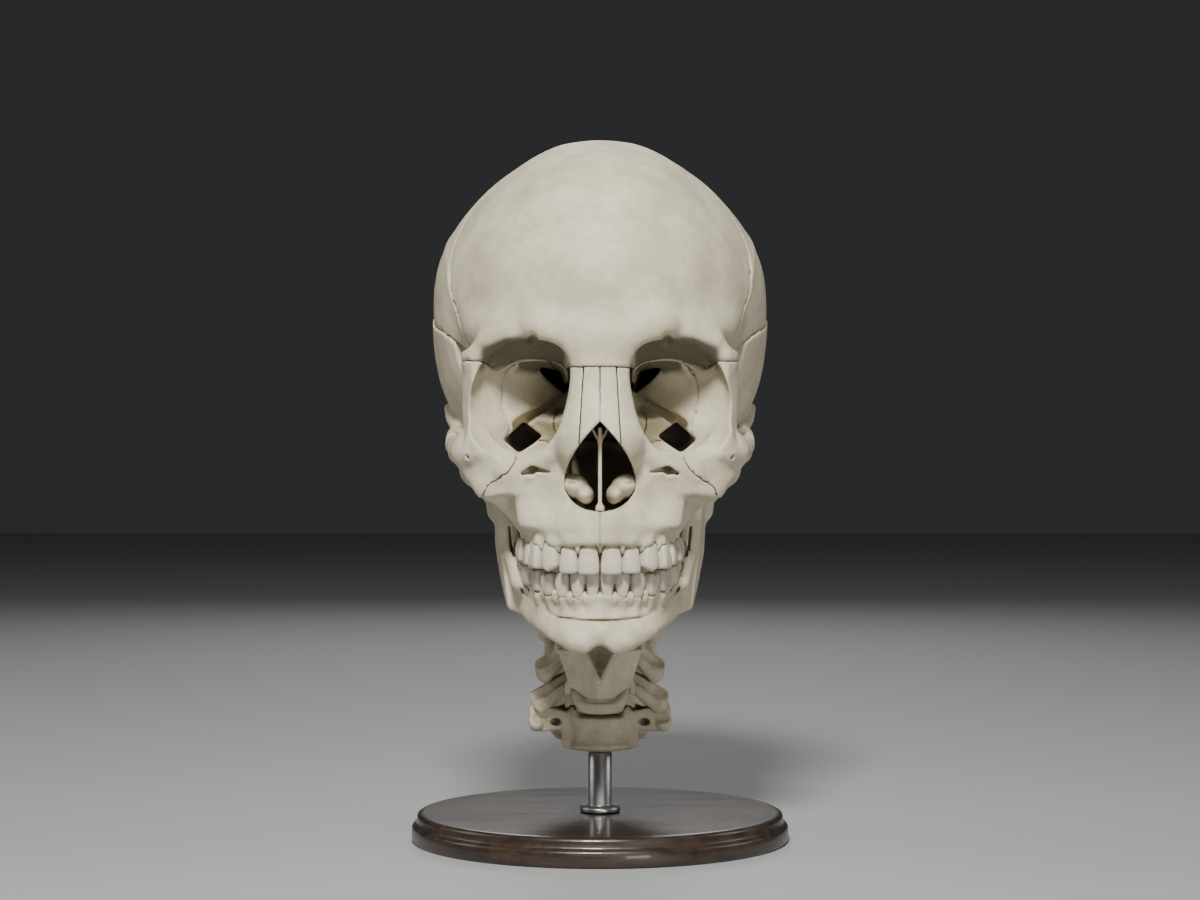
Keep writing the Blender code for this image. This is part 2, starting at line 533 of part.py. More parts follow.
class Regions:
    """The seams between the bones, each as a field that is negative on the side of the bone it is named after."""

    def __init__(self, f):
        self.f = f
        x, y, z = f.x, f.y, f.z
        self.front = (y + 77.3 - 0.55 * z) * 0.876
        self.rear = (45.1 - (0.9355 * y - 0.354 * z))
        inside = 28.0 + f.ramp(x, 15, 28, 0.0, 2.6) + f.ramp(x, 28, 40, 0.0, -6.6) + f.ramp(x, 40, 48, 0.0, 7.0)
        outside = f.ramp(y, -66, -52, 0.0, 1.0)
        self.brow = inside + (36.0 - inside) * outside - z
        rise = f.ramp(y, -52, -22, 36.0, 46.0) + f.ramp(y, -22, 6, 0.0, 6.0) + f.ramp(y, 10, 52, 0.0, -43.0)
        self.upper = (rise - z) * 0.85
        self.nape = f.most(0.8 * (x - 25.0) - 0.6 * (y - 8.0), -5.0 - y)
        hinge = f.union(-22.0 - y, f.most(-38.0 - y, 54.0 - x))
        self.ear = f.most(hinge, 22.0 - x, -self.nape)
        cheek_edge = 33.0 - (0.757 * x + 0.654 * z) - 12.8
        behind = f.union(y + 58.0, f.most(y + 38.0, 54.0 - x))
        self.cheek = f.most(cheek_edge, behind, 33.3 - x)
        self.face = y + f.union(f.ramp(z, -3, 4, 46.0, 62.0), f.ramp(x, 16, 21, 46.0, 62.0))
        self.nasal = f.most(x - 6.4 - (28.0 - z) * 0.058, -4.5 - z, y + 90.0)
        self.sieve = f.most(x - 12.2, 0.0 - z, -84.0 - y, y + 48.0)
        self.half = -x


def bone(name, whole, choose, side=0, joined=None):
    """One bone of the head: the head's form kept inside the region that choose gives, less half the seam."""
    f = Form(name)
    region = choose(Regions(f), f)
    gap = SUTURE_GAP / 2
    if side:
        region = f.most(region, f.side * -side)
    found = f.most(f.use(whole), region + gap)
    if joined:
        row = f.use(joined)
        if side:
            row = f.most(row, f.side * -side + gap)
        found = f.union(found, row, blend=0.6)
    return f.done(found)


def surface(name, form, box, cell):
    """Mesh of the place where the form's distance is zero, inside the box, on cells of that size."""
    tree = bpy.data.node_groups.new(name + " surface", "GeometryNodeTree")
    tree.interface.new_socket("Geometry", in_out="OUTPUT", socket_type="NodeSocketGeometry")
    field = tree.nodes.new("GeometryNodeGroup")
    field.node_tree = form.tree
    flip = tree.nodes.new("ShaderNodeMath")
    flip.operation = "MULTIPLY"
    flip.inputs[1].default_value = -1.0
    cube = tree.nodes.new("GeometryNodeVolumeCube")
    place = Vector((0.0, SHIFT_Y, LIFT))
    low, high = [Vector(corner) + place for corner in box]
    cube.inputs["Min"].default_value = low * MM
    cube.inputs["Max"].default_value = high * MM
    for label, start, end in zip("XYZ", low, high):
        cube.inputs["Resolution " + label].default_value = round((end - start) / cell) + 1
    cube.inputs["Background"].default_value = -1.0
    skin = tree.nodes.new("GeometryNodeVolumeToMesh")
    skin.inputs["Threshold"].default_value = 0.0
    out = tree.nodes.new("NodeGroupOutput")
    tree.links.new(field.outputs[0], flip.inputs[0])
    tree.links.new(flip.outputs[0], cube.inputs["Density"])
    tree.links.new(cube.outputs[0], skin.inputs["Volume"])
    tree.links.new(skin.outputs[0], out.inputs[0])
    holder = bpy.data.objects.new(name + " volume", bpy.data.meshes.new(name + " volume"))
    bpy.context.scene.collection.objects.link(holder)
    holder.modifiers.new("surface", "NODES").node_group = tree
    graph = bpy.context.evaluated_depsgraph_get()
    mesh = bpy.data.meshes.new_from_object(holder.evaluated_get(graph))
    bpy.data.objects.remove(holder)
    mesh.name = name
    return mesh


def keep_largest(mesh):
    """Drop every closed surface but the largest, and let all faces look outward."""
    bm = bmesh.new()
    bm.from_mesh(mesh)
    left = set(bm.verts)
    pieces = []
    while left:
        start = left.pop()
        piece = {start}
        queue = [start]
        while queue:
            for edge in queue.pop().link_edges:
                for vert in edge.verts:
                    if vert in left:
                        left.discard(vert)
                        piece.add(vert)
                        queue.append(vert)
        pieces.append(piece)
    pieces.sort(key=len)
    loose = [vert for piece in pieces[:-1] for vert in piece]
    bmesh.ops.delete(bm, geom=loose, context="VERTS")
    bmesh.ops.triangulate(bm, faces=bm.faces[:])
    bmesh.ops.recalc_face_normals(bm, faces=bm.faces[:])
    bm.to_mesh(mesh)
    bm.free()


def thin_out(mesh, triangles):
    """Collapse edges until about so many triangles are left."""
    if len(mesh.polygons) <= triangles:
        return mesh
    holder = bpy.data.objects.new("thinned", mesh)
    bpy.context.scene.collection.objects.link(holder)
    modifier = holder.modifiers.new("fewer", "DECIMATE")
    modifier.ratio = triangles / len(mesh.polygons)
    modifier.use_collapse_triangulate = True
    graph = bpy.context.evaluated_depsgraph_get()
    found = bpy.data.meshes.new_from_object(holder.evaluated_get(graph))
    bpy.data.objects.remove(holder)
    return found


def material(name, colour, roughness, metallic=0.0):
    made = bpy.data.materials.get(name)
    if made is None:
        made = bpy.data.materials.new(name)
        made.use_nodes = True
        shader = made.node_tree.nodes["Principled BSDF"]
        shader.inputs["Base Color"].default_value = (*colour, 1.0)
        shader.inputs["Roughness"].default_value = roughness
        shader.inputs["Metallic"].default_value = metallic
        made.diffuse_color = (*colour, 1.0)
    return made


def place(name, mesh, finish):
    mesh.name = name
    mesh.materials.clear()
    mesh.materials.append(finish)
    made = bpy.data.objects.new(name, mesh)
    bpy.context.scene.collection.objects.link(made)
    return made


def carve(name, form, box, cell, triangles, finish):
    """Turn a form into the named object, with about so many triangles."""
    mesh = surface(name, form, box, cell)
    keep_largest(mesh)
    mesh = thin_out(mesh, triangles)
    keep_largest(mesh)
    return place(name, mesh, finish)


def mirrored_box(low, high, side):
    """A box for one side: low and high are given for the left side, which has x above zero."""
    if side > 0:
        return low, high
    return (-high[0], low[1], low[2]), (-low[0], high[1], high[2])


def round_rod(name, start, end, radius, sides, finish):
    """A plain rod between two points of the scene, in millimetres."""
    along = Vector(end) - Vector(start)
    bm = bmesh.new()
    bmesh.ops.create_cone(bm, cap_ends=True, segments=sides, radius1=radius * MM, radius2=radius * MM,
                          depth=along.length * MM)
    turn = along.to_track_quat("Z", "Y").to_matrix().to_4x4()
    bmesh.ops.transform(bm, matrix=turn, verts=bm.verts)
    bmesh.ops.translate(bm, vec=(Vector(start) + along / 2) * MM, verts=bm.verts)
    mesh = bpy.data.meshes.new(name)
    bm.to_mesh(mesh)
    bm.free()
    return place(name, mesh, finish)


def build_base(finish):
    """A round base with a small bevel on its top edge."""
    bm = bmesh.new()
    bmesh.ops.create_cone(bm, cap_ends=True, segments=64, radius1=BASE_RADIUS * MM, radius2=BASE_RADIUS * MM,
                          depth=BASE_HEIGHT * MM)
    bmesh.ops.translate(bm, vec=(0.0, 0.0, BASE_HEIGHT * MM / 2), verts=bm.verts)
    top = [edge for edge in bm.edges if all(vert.co.z > BASE_HEIGHT * MM * 0.9 for vert in edge.verts)]
    bmesh.ops.bevel(bm, geom=top, offset=1.5 * MM, segments=2, profile=0.5, affect="EDGES")
    mesh = bpy.data.meshes.new("stand_base")
    bm.to_mesh(mesh)
    bm.free()
    return place("stand_base", mesh, finish)


def build_head(whole, upper_row, finish, face_finish):
    carve("frontal", bone("frontal", whole, lambda r, f: f.most(r.front, r.brow)),
          ((-68, -108, 18), (68, 2, 134)), 2.0, 1150, finish)
    carve("occipital", bone("occipital", whole, lambda r, f: f.union(
        f.most(r.rear, r.upper), f.most(r.nape, -r.upper))), ((-68, -12, -40), (68, 102, 96)), 2.0, 1000, finish)
    carve("sphenoid", bone("sphenoid", whole, lambda r, f: f.most(
        -r.brow, -r.upper, -r.nape, -r.ear, -r.cheek, -r.face, -r.sieve)),
        ((-70, -64, -36), (70, 0, 46)), 1.6, 1050, finish)
    for side, label in ((1, "left"), (-1, "right")):
        def half(low, high):
            return mirrored_box(low, high, side)
        carve("parietal_" + label, bone("parietal", whole, lambda r, f: f.most(-r.front, -r.rear, r.upper, r.half),
                                        side), half((-2, -66, 4), (78, 92, 134)), 2.2, 600, finish)
        carve("temporal_" + label, bone("temporal", whole, lambda r, f: f.most(r.ear, -r.upper), side),
              half((18, -44, -40), (78, 62, 56)), 1.6, 1000, finish)
        carve("zygomatic_" + label, bone("zygomatic", whole, lambda r, f: f.most(r.cheek, -r.brow), side),
              half((28, -90, -32), (72, -34, 36)), 1.4, 450, face_finish)
        carve("nasal_" + label, bone("nasal", whole, lambda r, f: f.most(r.nasal, -r.brow), side),
              half((-2, -112, -8), (10, -86, 34)), 1.0, 160, face_finish)
        carve("maxilla_" + label, bone("maxilla", whole, lambda r, f: f.most(
            r.face, -r.cheek, -r.brow, -r.nasal, -r.sieve), side, upper_row),
            half((-2, -104, -64), (46, -40, 34)), 1.2, 1230, face_finish)
        scroll = clear_of("concha " + label, concha(), whole, gap=0.6, side=side)
        carve("nasal_concha_" + label, scroll, half((-1, -98, -32), (18, -60, -4)), 1.0, 130, face_finish)
    carve("ethmoid", bone("ethmoid", whole, lambda r, f: f.most(r.sieve, -r.brow)),
          ((-16, -88, -4), (16, -44, 34)), 1.4, 280, face_finish)
    wall = clear_of("wall", vomer(), whole, gap=TOUCH_GAP)
    carve("vomer", wall, ((-3, -96, -34), (3, -50, 10)), 0.6, 80, face_finish)


def build_neck(whole, finish, gristle):
    bones = {level: vertebra(level) for level in NECK}
    bones[2] = axis()
    bones[1] = clear_of("c1", atlas(), bones[2], whole)
    boxes = {1: ((-45, -24, -52), (45, 46, -24)), 2: ((-34, -22, -78), (34, 52, -27))}
    for level, (_, z, *_) in NECK.items():
        boxes[level] = ((-40, -26, z - 24), (40, 46, z + 20))
    ring = cricoid()
    shield = clear_of("shield", thyroid(), ring)
    for level in sorted(bones):
        form = bones[level]
        if level > 1:
            nearby = [bones[level + 1]] if level < 6 else []
            form = clear_of("c%d" % level, form, *nearby, ring, shield)
        carve("vertebra_c%d" % level, form, boxes[level], 1.3, 620, finish)
    carve("cricoid_cartilage", ring, ((-16, -48, -119), (16, -18, -96)), 1.0, 240, gristle)
    carve("thyroid_cartilage", shield, ((-22, -50, -110), (22, -18, -76)), 0.8, 350, gristle)
    steel = material("stand steel", STEEL, 0.3, 1.0)
    for name, height, held, holder in (("stand_pin_shield", -99.3, shield, bones[4]),
                                       ("stand_pin_ring", -108.0, ring, bones[5])):
        pin = rounded_rod(name, (0, -12, height), (0, -48, height), PIN_RADIUS)
        if held is ring:
            pin = rounded_rod(name, (0, -12, height), (0, -26, height), PIN_RADIUS)
        pin = clear_of(name, pin, held, holder, gap=TOUCH_GAP)
        carve(name, pin, ((-3, -50, height - 3), (3, -10, height + 3)), 0.5, 90, steel)


def build_stand():
    wood = material("stand wood", EBONY, 0.35)
    steel = material("stand steel", STEEL, 0.3, 1.0)
    build_base(wood)
    neck_y = NECK[6][0] + SHIFT_Y
    round_rod("stand_rod", (0, neck_y, BASE_HEIGHT + TOUCH_GAP), (0, neck_y, LIFT + NECK_FOOT_Z - TOUCH_GAP),
              ROD_RADIUS, 24, steel)


def main():
    for old in list(bpy.data.objects):
        bpy.data.objects.remove(old)
    bone_finish = material("bone", BONE, 0.62)
    face_finish = material("face bone", FACE_BONE, 0.58)
    neck_finish = material("neck bone", NECK_BONE, 0.66)
    gristle = material("cartilage", GRISTLE, 0.55)
    whole = head()
    upper_row = teeth("upper teeth", UPPER_TEETH, 1)
    build_head(whole, upper_row, bone_finish, face_finish)
    lower = Form("mandible")
    lower.done(lower.union(lower.use(lower_jaw()), lower.use(teeth("lower teeth", LOWER_TEETH, -1)), blend=0.6))
    jaw = clear_of("jaw", lower, whole, upper_row)
    carve("mandible", jaw, ((-62, -100, -92), (62, -2, 2)), 1.3, 2150, face_finish)
    build_neck(whole, neck_finish, gristle)
    build_stand()


main()
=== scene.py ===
"""Finished model of a human skull with its neck bones and larynx cartilages on a display stand.

Each bone is described by a signed distance: a number that is negative inside the bone, zero on its skin and
positive outside. A Form writes such a distance as a node group, and Blender's volume nodes turn its zero
into a mesh. The skull's own frame has its origin midway between the ear openings, with x across, y to the
back and z up, in millimetres. The head is drawn once for one side and mirrored, and the seams between its
bones are fields too, so that neighbours meet along the same wavy line.
"""

import logging
import math
from dataclasses import dataclass, field
from enum import Enum
from typing import Any, Callable, Iterable, Sequence, Union

import bmesh
import bpy
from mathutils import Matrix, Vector


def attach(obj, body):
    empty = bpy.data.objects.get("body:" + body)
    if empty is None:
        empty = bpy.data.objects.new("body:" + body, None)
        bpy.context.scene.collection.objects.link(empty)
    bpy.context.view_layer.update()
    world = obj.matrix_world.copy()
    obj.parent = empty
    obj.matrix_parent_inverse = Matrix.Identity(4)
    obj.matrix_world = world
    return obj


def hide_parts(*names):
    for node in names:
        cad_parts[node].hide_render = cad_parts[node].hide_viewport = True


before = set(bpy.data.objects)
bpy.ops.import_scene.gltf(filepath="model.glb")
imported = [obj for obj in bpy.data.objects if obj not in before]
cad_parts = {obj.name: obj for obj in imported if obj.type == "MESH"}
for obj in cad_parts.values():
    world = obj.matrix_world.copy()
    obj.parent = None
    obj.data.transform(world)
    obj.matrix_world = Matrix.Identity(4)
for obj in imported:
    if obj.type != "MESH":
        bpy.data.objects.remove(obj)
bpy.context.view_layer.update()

log = logging.getLogger("skull")

MM = 0.001
SHIFT_Y = 6.0
LIFT = 170.0
COARSE = 1.0

# Gaps between neighbours, in millimetres: at a joint, at a pin, at a thin wall in the nose, between a tooth and
# its jaw, and between two rows of teeth.
JOINT_GAP = 0.8
PIN_GAP = 0.35
WALL_GAP = 0.3
SOCKET_GAP = 0.12
BITE_GAP = 0.05

Triple = Sequence[float]
Value = Union["Number", float]


class Side(Enum):
    """Which half of the head a bone belongs to."""

    LEFT = 1
    MIDDLE = 0
    RIGHT = -1

    @property
    def ending(self) -> str:
        """The ending of a node's name."""
        return {1: "_left", 0: "", -1: "_right"}[self.value]


class Jaw(Enum):
    """Which row of teeth; the value is the direction of the roots."""

    UPPER = 1
    LOWER = -1


class Number:
    """A socket that carries a number or a vector, with the usual operators."""

    def __init__(self, graph: "Graph", socket: bpy.types.NodeSocket) -> None:
        """Hold a socket and the graph that it is in."""
        self.graph = graph
        self.socket = socket

    def __add__(self, other: Value) -> "Number":
        """Add."""
        return self.graph.math("ADD", self, other)

    __radd__ = __add__

    def __sub__(self, other: Value) -> "Number":
        """Subtract."""
        return self.graph.math("SUBTRACT", self, other)

    def __rsub__(self, other: Value) -> "Number":
        """Subtract from a plain number."""
        return self.graph.math("SUBTRACT", other, self)

    def __mul__(self, other: Value) -> "Number":
        """Multiply."""
        return self.graph.math("MULTIPLY", self, other)

    __rmul__ = __mul__

    def __truediv__(self, other: Value) -> "Number":
        """Divide."""
        return self.graph.math("DIVIDE", self, other)

    def __rtruediv__(self, other: Value) -> "Number":
        """Divide a plain number."""
        return self.graph.math("DIVIDE", other, self)

    def __neg__(self) -> "Number":
        """Change the sign."""
        return self.graph.math("MULTIPLY", self, -1.0)

    def __abs__(self) -> "Number":
        """Drop the sign."""
        return self.graph.math("ABSOLUTE", self)


class Graph:
    """A node tree written through expressions."""

    def __init__(self, tree: bpy.types.NodeTree) -> None:
        """Write into a node tree."""
        self.tree = tree

    def node(self, kind: str, values: Any = (), output: Any = 0, **settings: Any) -> Number:
        """Add a node.

        Args:
            kind: The node's type.
            values: Pairs of an input's name or number and its value or link.
            output: The output wanted.
            **settings: The node's own settings, set first.

        Returns:
            The wanted output.
        """
        made = self.tree.nodes.new(kind)
        for key, value in settings.items():
            setattr(made, key, value)
        for slot, value in dict(values).items():
            if isinstance(value, Number):
                self.tree.links.new(value.socket, made.inputs[slot])
            else:
                made.inputs[slot].default_value = value
        return Number(self, made.outputs[output])

    def math(self, operation: str, *values: Value, clamp: bool = False) -> Number:
        """A Math node."""
        return self.node("ShaderNodeMath", enumerate(values), operation=operation, use_clamp=clamp)

    def vector(self, operation: str, *values: Any, scale: Any = None) -> Number:
        """A Vector Math node; scale is for its Scale operation.

        Args:
            operation: The node's operation.
            scale: The factor of its Scale operation.
            *values: What feeds it.

        Returns:
            A number or a vector.
        """
        slots: dict = dict(enumerate(values))
        if scale is not None:
            slots["Scale"] = scale
        number = operation in ("LENGTH", "DOT_PRODUCT")
        return self.node("ShaderNodeVectorMath", slots, output=int(number), operation=operation)

    def split(self, value: Number) -> list[Number]:
        """The x, y and z of a vector.

        Args:
            value: The vector.

        Returns:
            Its x, y and z.
        """
        made = self.tree.nodes.new("ShaderNodeSeparateXYZ")
        self.tree.links.new(value.socket, made.inputs[0])
        return [Number(self, socket) for socket in made.outputs]

    def join(self, x: Value, y: Value, z: Value) -> Number:
        """A vector from three numbers."""
        return self.node("ShaderNodeCombineXYZ", enumerate((x, y, z)))

    def noise(self, point: Number, size: float, detail: float = 2.0, roughness: float = 0.5) -> Number:
        """Noise around zero, about one from trough to crest, with bumps about so many units of the point wide.

        Args:
            point: Where it is read.
            size: Width of the bumps.
            detail: Levels of finer bumps.
            roughness: Weight of the finer bumps.

        Returns:
            The field.
        """
        found = self.node("ShaderNodeTexNoise", {"Vector": point, "Scale": 1.0 / size, "Detail": detail,
                                                 "Roughness": roughness})
        return (found - 0.5) * 2.0

    def ramp(self, value: Value, start: float, end: float, low: float = 0.0, high: float = 1.0) -> Number:
        """A number that eases from low to high as the value goes from start to end."""
        return self.node("ShaderNodeMapRange", {"Value": value, "From Min": start, "From Max": end,
                                                "To Min": low, "To Max": high}, interpolation_type="SMOOTHSTEP")


class Form(Graph):
    """A node group that holds the signed distance to one shape, in millimetres."""

    def __init__(self, name: str) -> None:
        """Start the form, with its point in the skull's own frame.

        Args:
            name: The node group's name.
        """
        super().__init__(bpy.data.node_groups.new(name, "GeometryNodeTree"))
        self.tree.interface.new_socket("Distance", in_out="OUTPUT", socket_type="NodeSocketFloat")
        place = self.vector("SCALE", self.node("GeometryNodeInputPosition"), scale=1.0 / MM)
        self.true_point = self.vector("SUBTRACT", place, (0.0, SHIFT_Y, LIFT))
        self.side, self.y, self.z = self.split(self.true_point)
        self.x = abs(self.side)
        self.point = self.join(self.x, self.y, self.z)

    def use(self, other: "Form") -> Number:
        """Another form's distance at the same point.

        Args:
            other: The other form.

        Returns:
            Its distance.
        """
        made = self.tree.nodes.new("GeometryNodeGroup")
        made.node_tree = other.tree
        return Number(self, made.outputs[0])

    def done(self, distance: Number) -> "Form":
        """Close the form with its distance.

        Args:
            distance: The form's distance.

        Returns:
            The form.
        """
        out = self.tree.nodes.new("NodeGroupOutput")
        self.tree.links.new(distance.socket, out.inputs[0])
        return self

    def local(self, centre: Triple, turn: Triple | None = None, point: Number | None = None) -> Number:
        """The point as seen from a centre, and from axes turned by so many degrees about x, y and z.

        Args:
            centre: The centre.
            turn: Degrees about x, y and z.
            point: The point, or the form's own.

        Returns:
            The field.
        """
        moved = self.vector("SUBTRACT", point or self.point, tuple(centre))
        if turn:
            angles = tuple(math.radians(angle) for angle in turn)
            moved = self.node("ShaderNodeVectorRotate", {"Vector": moved, "Rotation": angles},
                              rotation_type="EULER_XYZ", invert=True)
        return moved

    def ellipsoid(self, centre: Triple, radii: Triple, turn: Triple | None = None,
                  point: Number | None = None) -> Number:
        """An ellipsoid.

        Args:
            centre: The centre.
            radii: Its radii.
            turn: Degrees about x, y and z.
            point: The point, or the form's own.

        Returns:
            The field.
        """
        local = self.local(centre, turn, point)
        unit = self.vector("LENGTH", self.vector("DIVIDE", local, tuple(radii)))
        slope = self.vector("LENGTH", self.vector("DIVIDE", local, tuple(r * r for r in radii)))
        return unit * (unit - 1.0) / self.math("MAXIMUM", slope, 1e-4)

    def column(self, centre_y: float, half_x: float, half_y: float) -> Number:
        """An upright column whose plan is an ellipse."""
        return self.ellipsoid((0.0, centre_y, 0.0), (half_x, half_y, 1000.0), point=self.join(self.x, self.y, 0.0))

    def block(self, centre: Triple, half: Triple, radius: float, turn: Triple | None = None) -> Number:
        """A box with rounded edges.

        Args:
            centre: The centre.
            half: Half its sides.
            radius: Radius of its edges.
            turn: Degrees about x, y and z.

        Returns:
            The field.
        """
        corner = self.vector("ABSOLUTE", self.local(centre, turn))
        corner = self.vector("SUBTRACT", corner, tuple(h - radius for h in half))
        outside = self.vector("LENGTH", self.vector("MAXIMUM", corner, (0.0, 0.0, 0.0)))
        inside = self.math("MINIMUM", self.most(*self.split(corner)), 0.0)
        return outside + inside - radius

    def bar(self, start: Triple, end: Triple, r0: float, r1: float | None = None,
            flat: Triple | None = None) -> Number:
        """A round bar that tapers from one radius to another; flat stretches its section along the axes.

        Args:
            start: Where it starts.
            end: Where it ends.
            r0: Radius at the start.
            r1: Radius at the end, or the same.
            flat: Stretch of the section along each axis.

        Returns:
            The field.
        """
        point = self.point
        if flat:
            point = self.vector("DIVIDE", point, tuple(flat))
            start, end = [tuple(c / f for c, f in zip(knot, flat)) for knot in (start, end)]
        along = Vector(end) - Vector(start)
        point = self.vector("SUBTRACT", point, tuple(start))
        share = self.math("DIVIDE", self.vector("DOT_PRODUCT", point, tuple(along)), along.length_squared, clamp=True)
        axis = self.vector("SCALE", tuple(along), scale=share)
        gone = self.vector("LENGTH", self.vector("SUBTRACT", point, axis))
        return gone - self.math("MULTIPLY_ADD", share, (r0 if r1 is None else r1) - r0, r0)

    def chain(self, knots: Sequence[Triple], flat: Triple | None = None) -> Number:
        """Bars from knot to knot, each knot with its place and its radius."""
        return self.union(*[self.bar(a[:3], b[:3], a[3], b[3], flat) for a, b in zip(knots, knots[1:])])

    def plane(self, centre: Triple, normal: Triple) -> Number:
        """The side of a plane: positive where the normal points."""
        unit = Vector(normal).normalized()
        return self.vector("DOT_PRODUCT", self.vector("SUBTRACT", self.point, tuple(centre)), tuple(unit))

    def fold(self, sharp: str, smooth: str, fields: Iterable[Number], blend: float) -> Number:
        """Join fields one after the other, softly where there is a blend.

        Args:
            sharp: Operation without a blend.
            smooth: Operation with one.
            *fields: The fields.
            blend: Width of the blend, in millimetres.

        Returns:
            The field.
        """
        fields = list(fields)
        found = fields[0]
        for other in fields[1:]:
            found = self.math(smooth, found, other, blend) if blend else self.math(sharp, found, other)
        return found

    def union(self, *fields: Number, blend: float = 0.0) -> Number:
        """Everything that is in any of the fields."""
        return self.fold("MINIMUM", "SMOOTH_MIN", fields, blend)

    def most(self, *fields: Number, blend: float = 0.0) -> Number:
        """What all the fields share."""
        return self.fold("MAXIMUM", "SMOOTH_MAX", fields, blend)

    def cut(self, body: Number, tool: Number, blend: float = 0.0) -> Number:
        """The body without the tool."""
        return self.most(body, -tool, blend=blend)


class Paint(Graph):
    """A material's node tree, read in millimetres from the piece's own axes."""

    def __init__(self, name: str) -> None:
        """Start a material.

        Args:
            name: The material's name.
        """
        made = bpy.data.materials.new(name)
        made.use_nodes = True
        super().__init__(made.node_tree)
        self.shader = made.node_tree.nodes["Principled BSDF"]
        self.point = self.vector("SCALE", self.node("ShaderNodeTexCoord", output="Object"), scale=1.0 / MM)

    def mix(self, share: Value, first: Any, second: Any) -> Number:
        """A colour between two colours.

        Args:
            share: Share of the second colour.
            first: The first colour.
            second: The second colour.

        Returns:
            The mixed colour.
        """
        made = self.tree.nodes.new("ShaderNodeMix")
        made.data_type = "RGBA"
        for slot, value in ((0, share), (6, first), (7, second)):
            if isinstance(value, Number):
                self.tree.links.new(value.socket, made.inputs[slot])
            else:
                made.inputs[slot].default_value = value if slot == 0 else (*value, 1.0)
        return Number(self, made.outputs[2])

    def set(self, **values: Any) -> None:
        """Set the shader's sockets, named with low bars for blanks.

        Args:
            **values: The sockets' values or links.
        """
        for name, value in values.items():
            socket = self.shader.inputs[name.replace("_", " ").title()]
            if isinstance(value, Number):
                self.tree.links.new(value.socket, socket)
            else:
                socket.default_value = value

    def bump(self, height: Number, depth: float) -> Number:
        """A normal from a height of about so many millimetres."""
        return self.node("ShaderNodeBump", {"Height": height, "Distance": depth * MM, "Strength": 1.0})

    def edges(self) -> tuple[Number, Number]:
        """Shares of convex and hollow places, from the mesh's own points."""
        found = self.node("ShaderNodeNewGeometry", output="Pointiness")
        return self.ramp(found, 0.52, 0.62), self.ramp(found, 0.48, 0.38)


@dataclass(frozen=True)
class Finish:
    """A finish that makes its material once, however many pieces wear it."""

    name: str

    def material(self) -> bpy.types.Material:
        """The material, which is made at the first call.

        Returns:
            The material.
        """
        if self.name not in bpy.data.materials:
            self.lay(Paint(self.name))
        return bpy.data.materials[self.name]

    def lay(self, paint: Paint) -> None:
        """Lay the finish on a material; each finish has its own way."""
        raise NotImplementedError


@dataclass(frozen=True)
class BoneFinish(Finish):
    """Dry bone: cream with cloudy patches, paler on ridges, with painted shade in hollows, seams, eye sockets and
    nose.
    """

    colour: Triple = (0.46, 0.405, 0.275)
    pale: Triple = (0.70, 0.635, 0.46)
    stain: Triple = (0.30, 0.25, 0.165)
    # Colour of the painted shade in hollows, creases and seams.
    crease_shade: Triple = (0.16, 0.12, 0.08)
    # Colour of the painted shade deep in the eye sockets, in the nose and under the brows.
    dark: Triple = (0.050, 0.038, 0.025)
    roughness: float = 0.56
    patch: float = 18.0
    pits: float = 0.10

    def inside(self, paint: Paint) -> Number:
        """Share of painted shade, which sits deep in the eye sockets and in the nose and on the downward faces under
        the brows.

        Args:
            paint: The material's node tree.

        Returns:
            The field.
        """
        across, y, z = paint.split(paint.point)
        across, y, z = abs(across), y - SHIFT_Y, z - LIFT
        socket = paint.ramp(y, -45, -38) * paint.ramp(y, 0, 8, 1.0, 0.0) * paint.ramp(across, 36, 41, 1.0, 0.0)
        socket = socket * paint.ramp(z, -10, -4) * paint.ramp(z, 30, 35, 1.0, 0.0)
        nose = paint.ramp(y, -87, -76, 0.0, 0.9) * paint.ramp(y, -42, -38, 1.0, 0.0)
        nose = nose * paint.ramp(z, -22, -4, 0.45, 1.0)
        nose = nose * paint.ramp(across, 12.6, 14.4, 1.0, 0.0) * paint.ramp(z, -29, -27)
        # Painted shade on the faces that look down, in the roofs of the eye sockets under the brows.
        facing = paint.split(paint.node("ShaderNodeNewGeometry", output="Normal"))[2]
        roof = paint.ramp(facing, -0.20, -0.65, 0.0, 0.86) * paint.ramp(across, 12, 15)
        roof = roof * paint.ramp(across, 46, 50, 1.0, 0.0) * paint.ramp(z, 22, 26) * paint.ramp(z, 39, 46, 1.0, 0.0)
        found = paint.math("MAXIMUM", socket, nose * paint.ramp(z, 28, 31, 1.0, 0.0))
        return paint.math("MAXIMUM", found, roof * paint.ramp(y, -90, -84) * paint.ramp(y, -40, -30, 1.0, 0.0))

    def lay(self, paint: Paint) -> None:
        """Lay the finish on a material.

        Args:
            paint: The material's node tree.
        """
        cloud = paint.noise(paint.point, self.patch, 5.0, 0.62)
        cloud = paint.ramp(cloud, -0.55, 0.65)
        small = paint.ramp(paint.noise(paint.point, 3.2, 4.0, 0.6), -0.5, 0.6)
        colour = paint.mix(cloud, self.colour, self.pale)
        colour = paint.mix(small * 0.22, colour, self.stain)
        ridge, hollow = paint.edges()
        colour = paint.mix(ridge * 0.35, colour, self.pale)
        # Painted shade in hollows, creases and seams, patchy with the small noise.
        colour = paint.mix(hollow * (0.35 + 0.4 * small), colour, self.crease_shade)
        # Painted shade deep in the eye sockets and the nose and under the brows.
        colour = paint.mix(self.inside(paint), colour, self.dark)
        grain = paint.noise(paint.point, 0.9, 3.0, 0.6)
        pore = paint.ramp(paint.node("ShaderNodeTexVoronoi", {"Vector": paint.point, "Scale": 0.9},
                                     output="Distance"), 0.0, 0.22, -1.0, 0.0)
        height = grain * 0.5 + pore * 0.7 + paint.noise(paint.point, 6.0, 3.0) * 0.9
        paint.set(base_color=colour, roughness=self.roughness + 0.10 * small - 0.06 * ridge,
                  normal=paint.bump(height, self.pits))


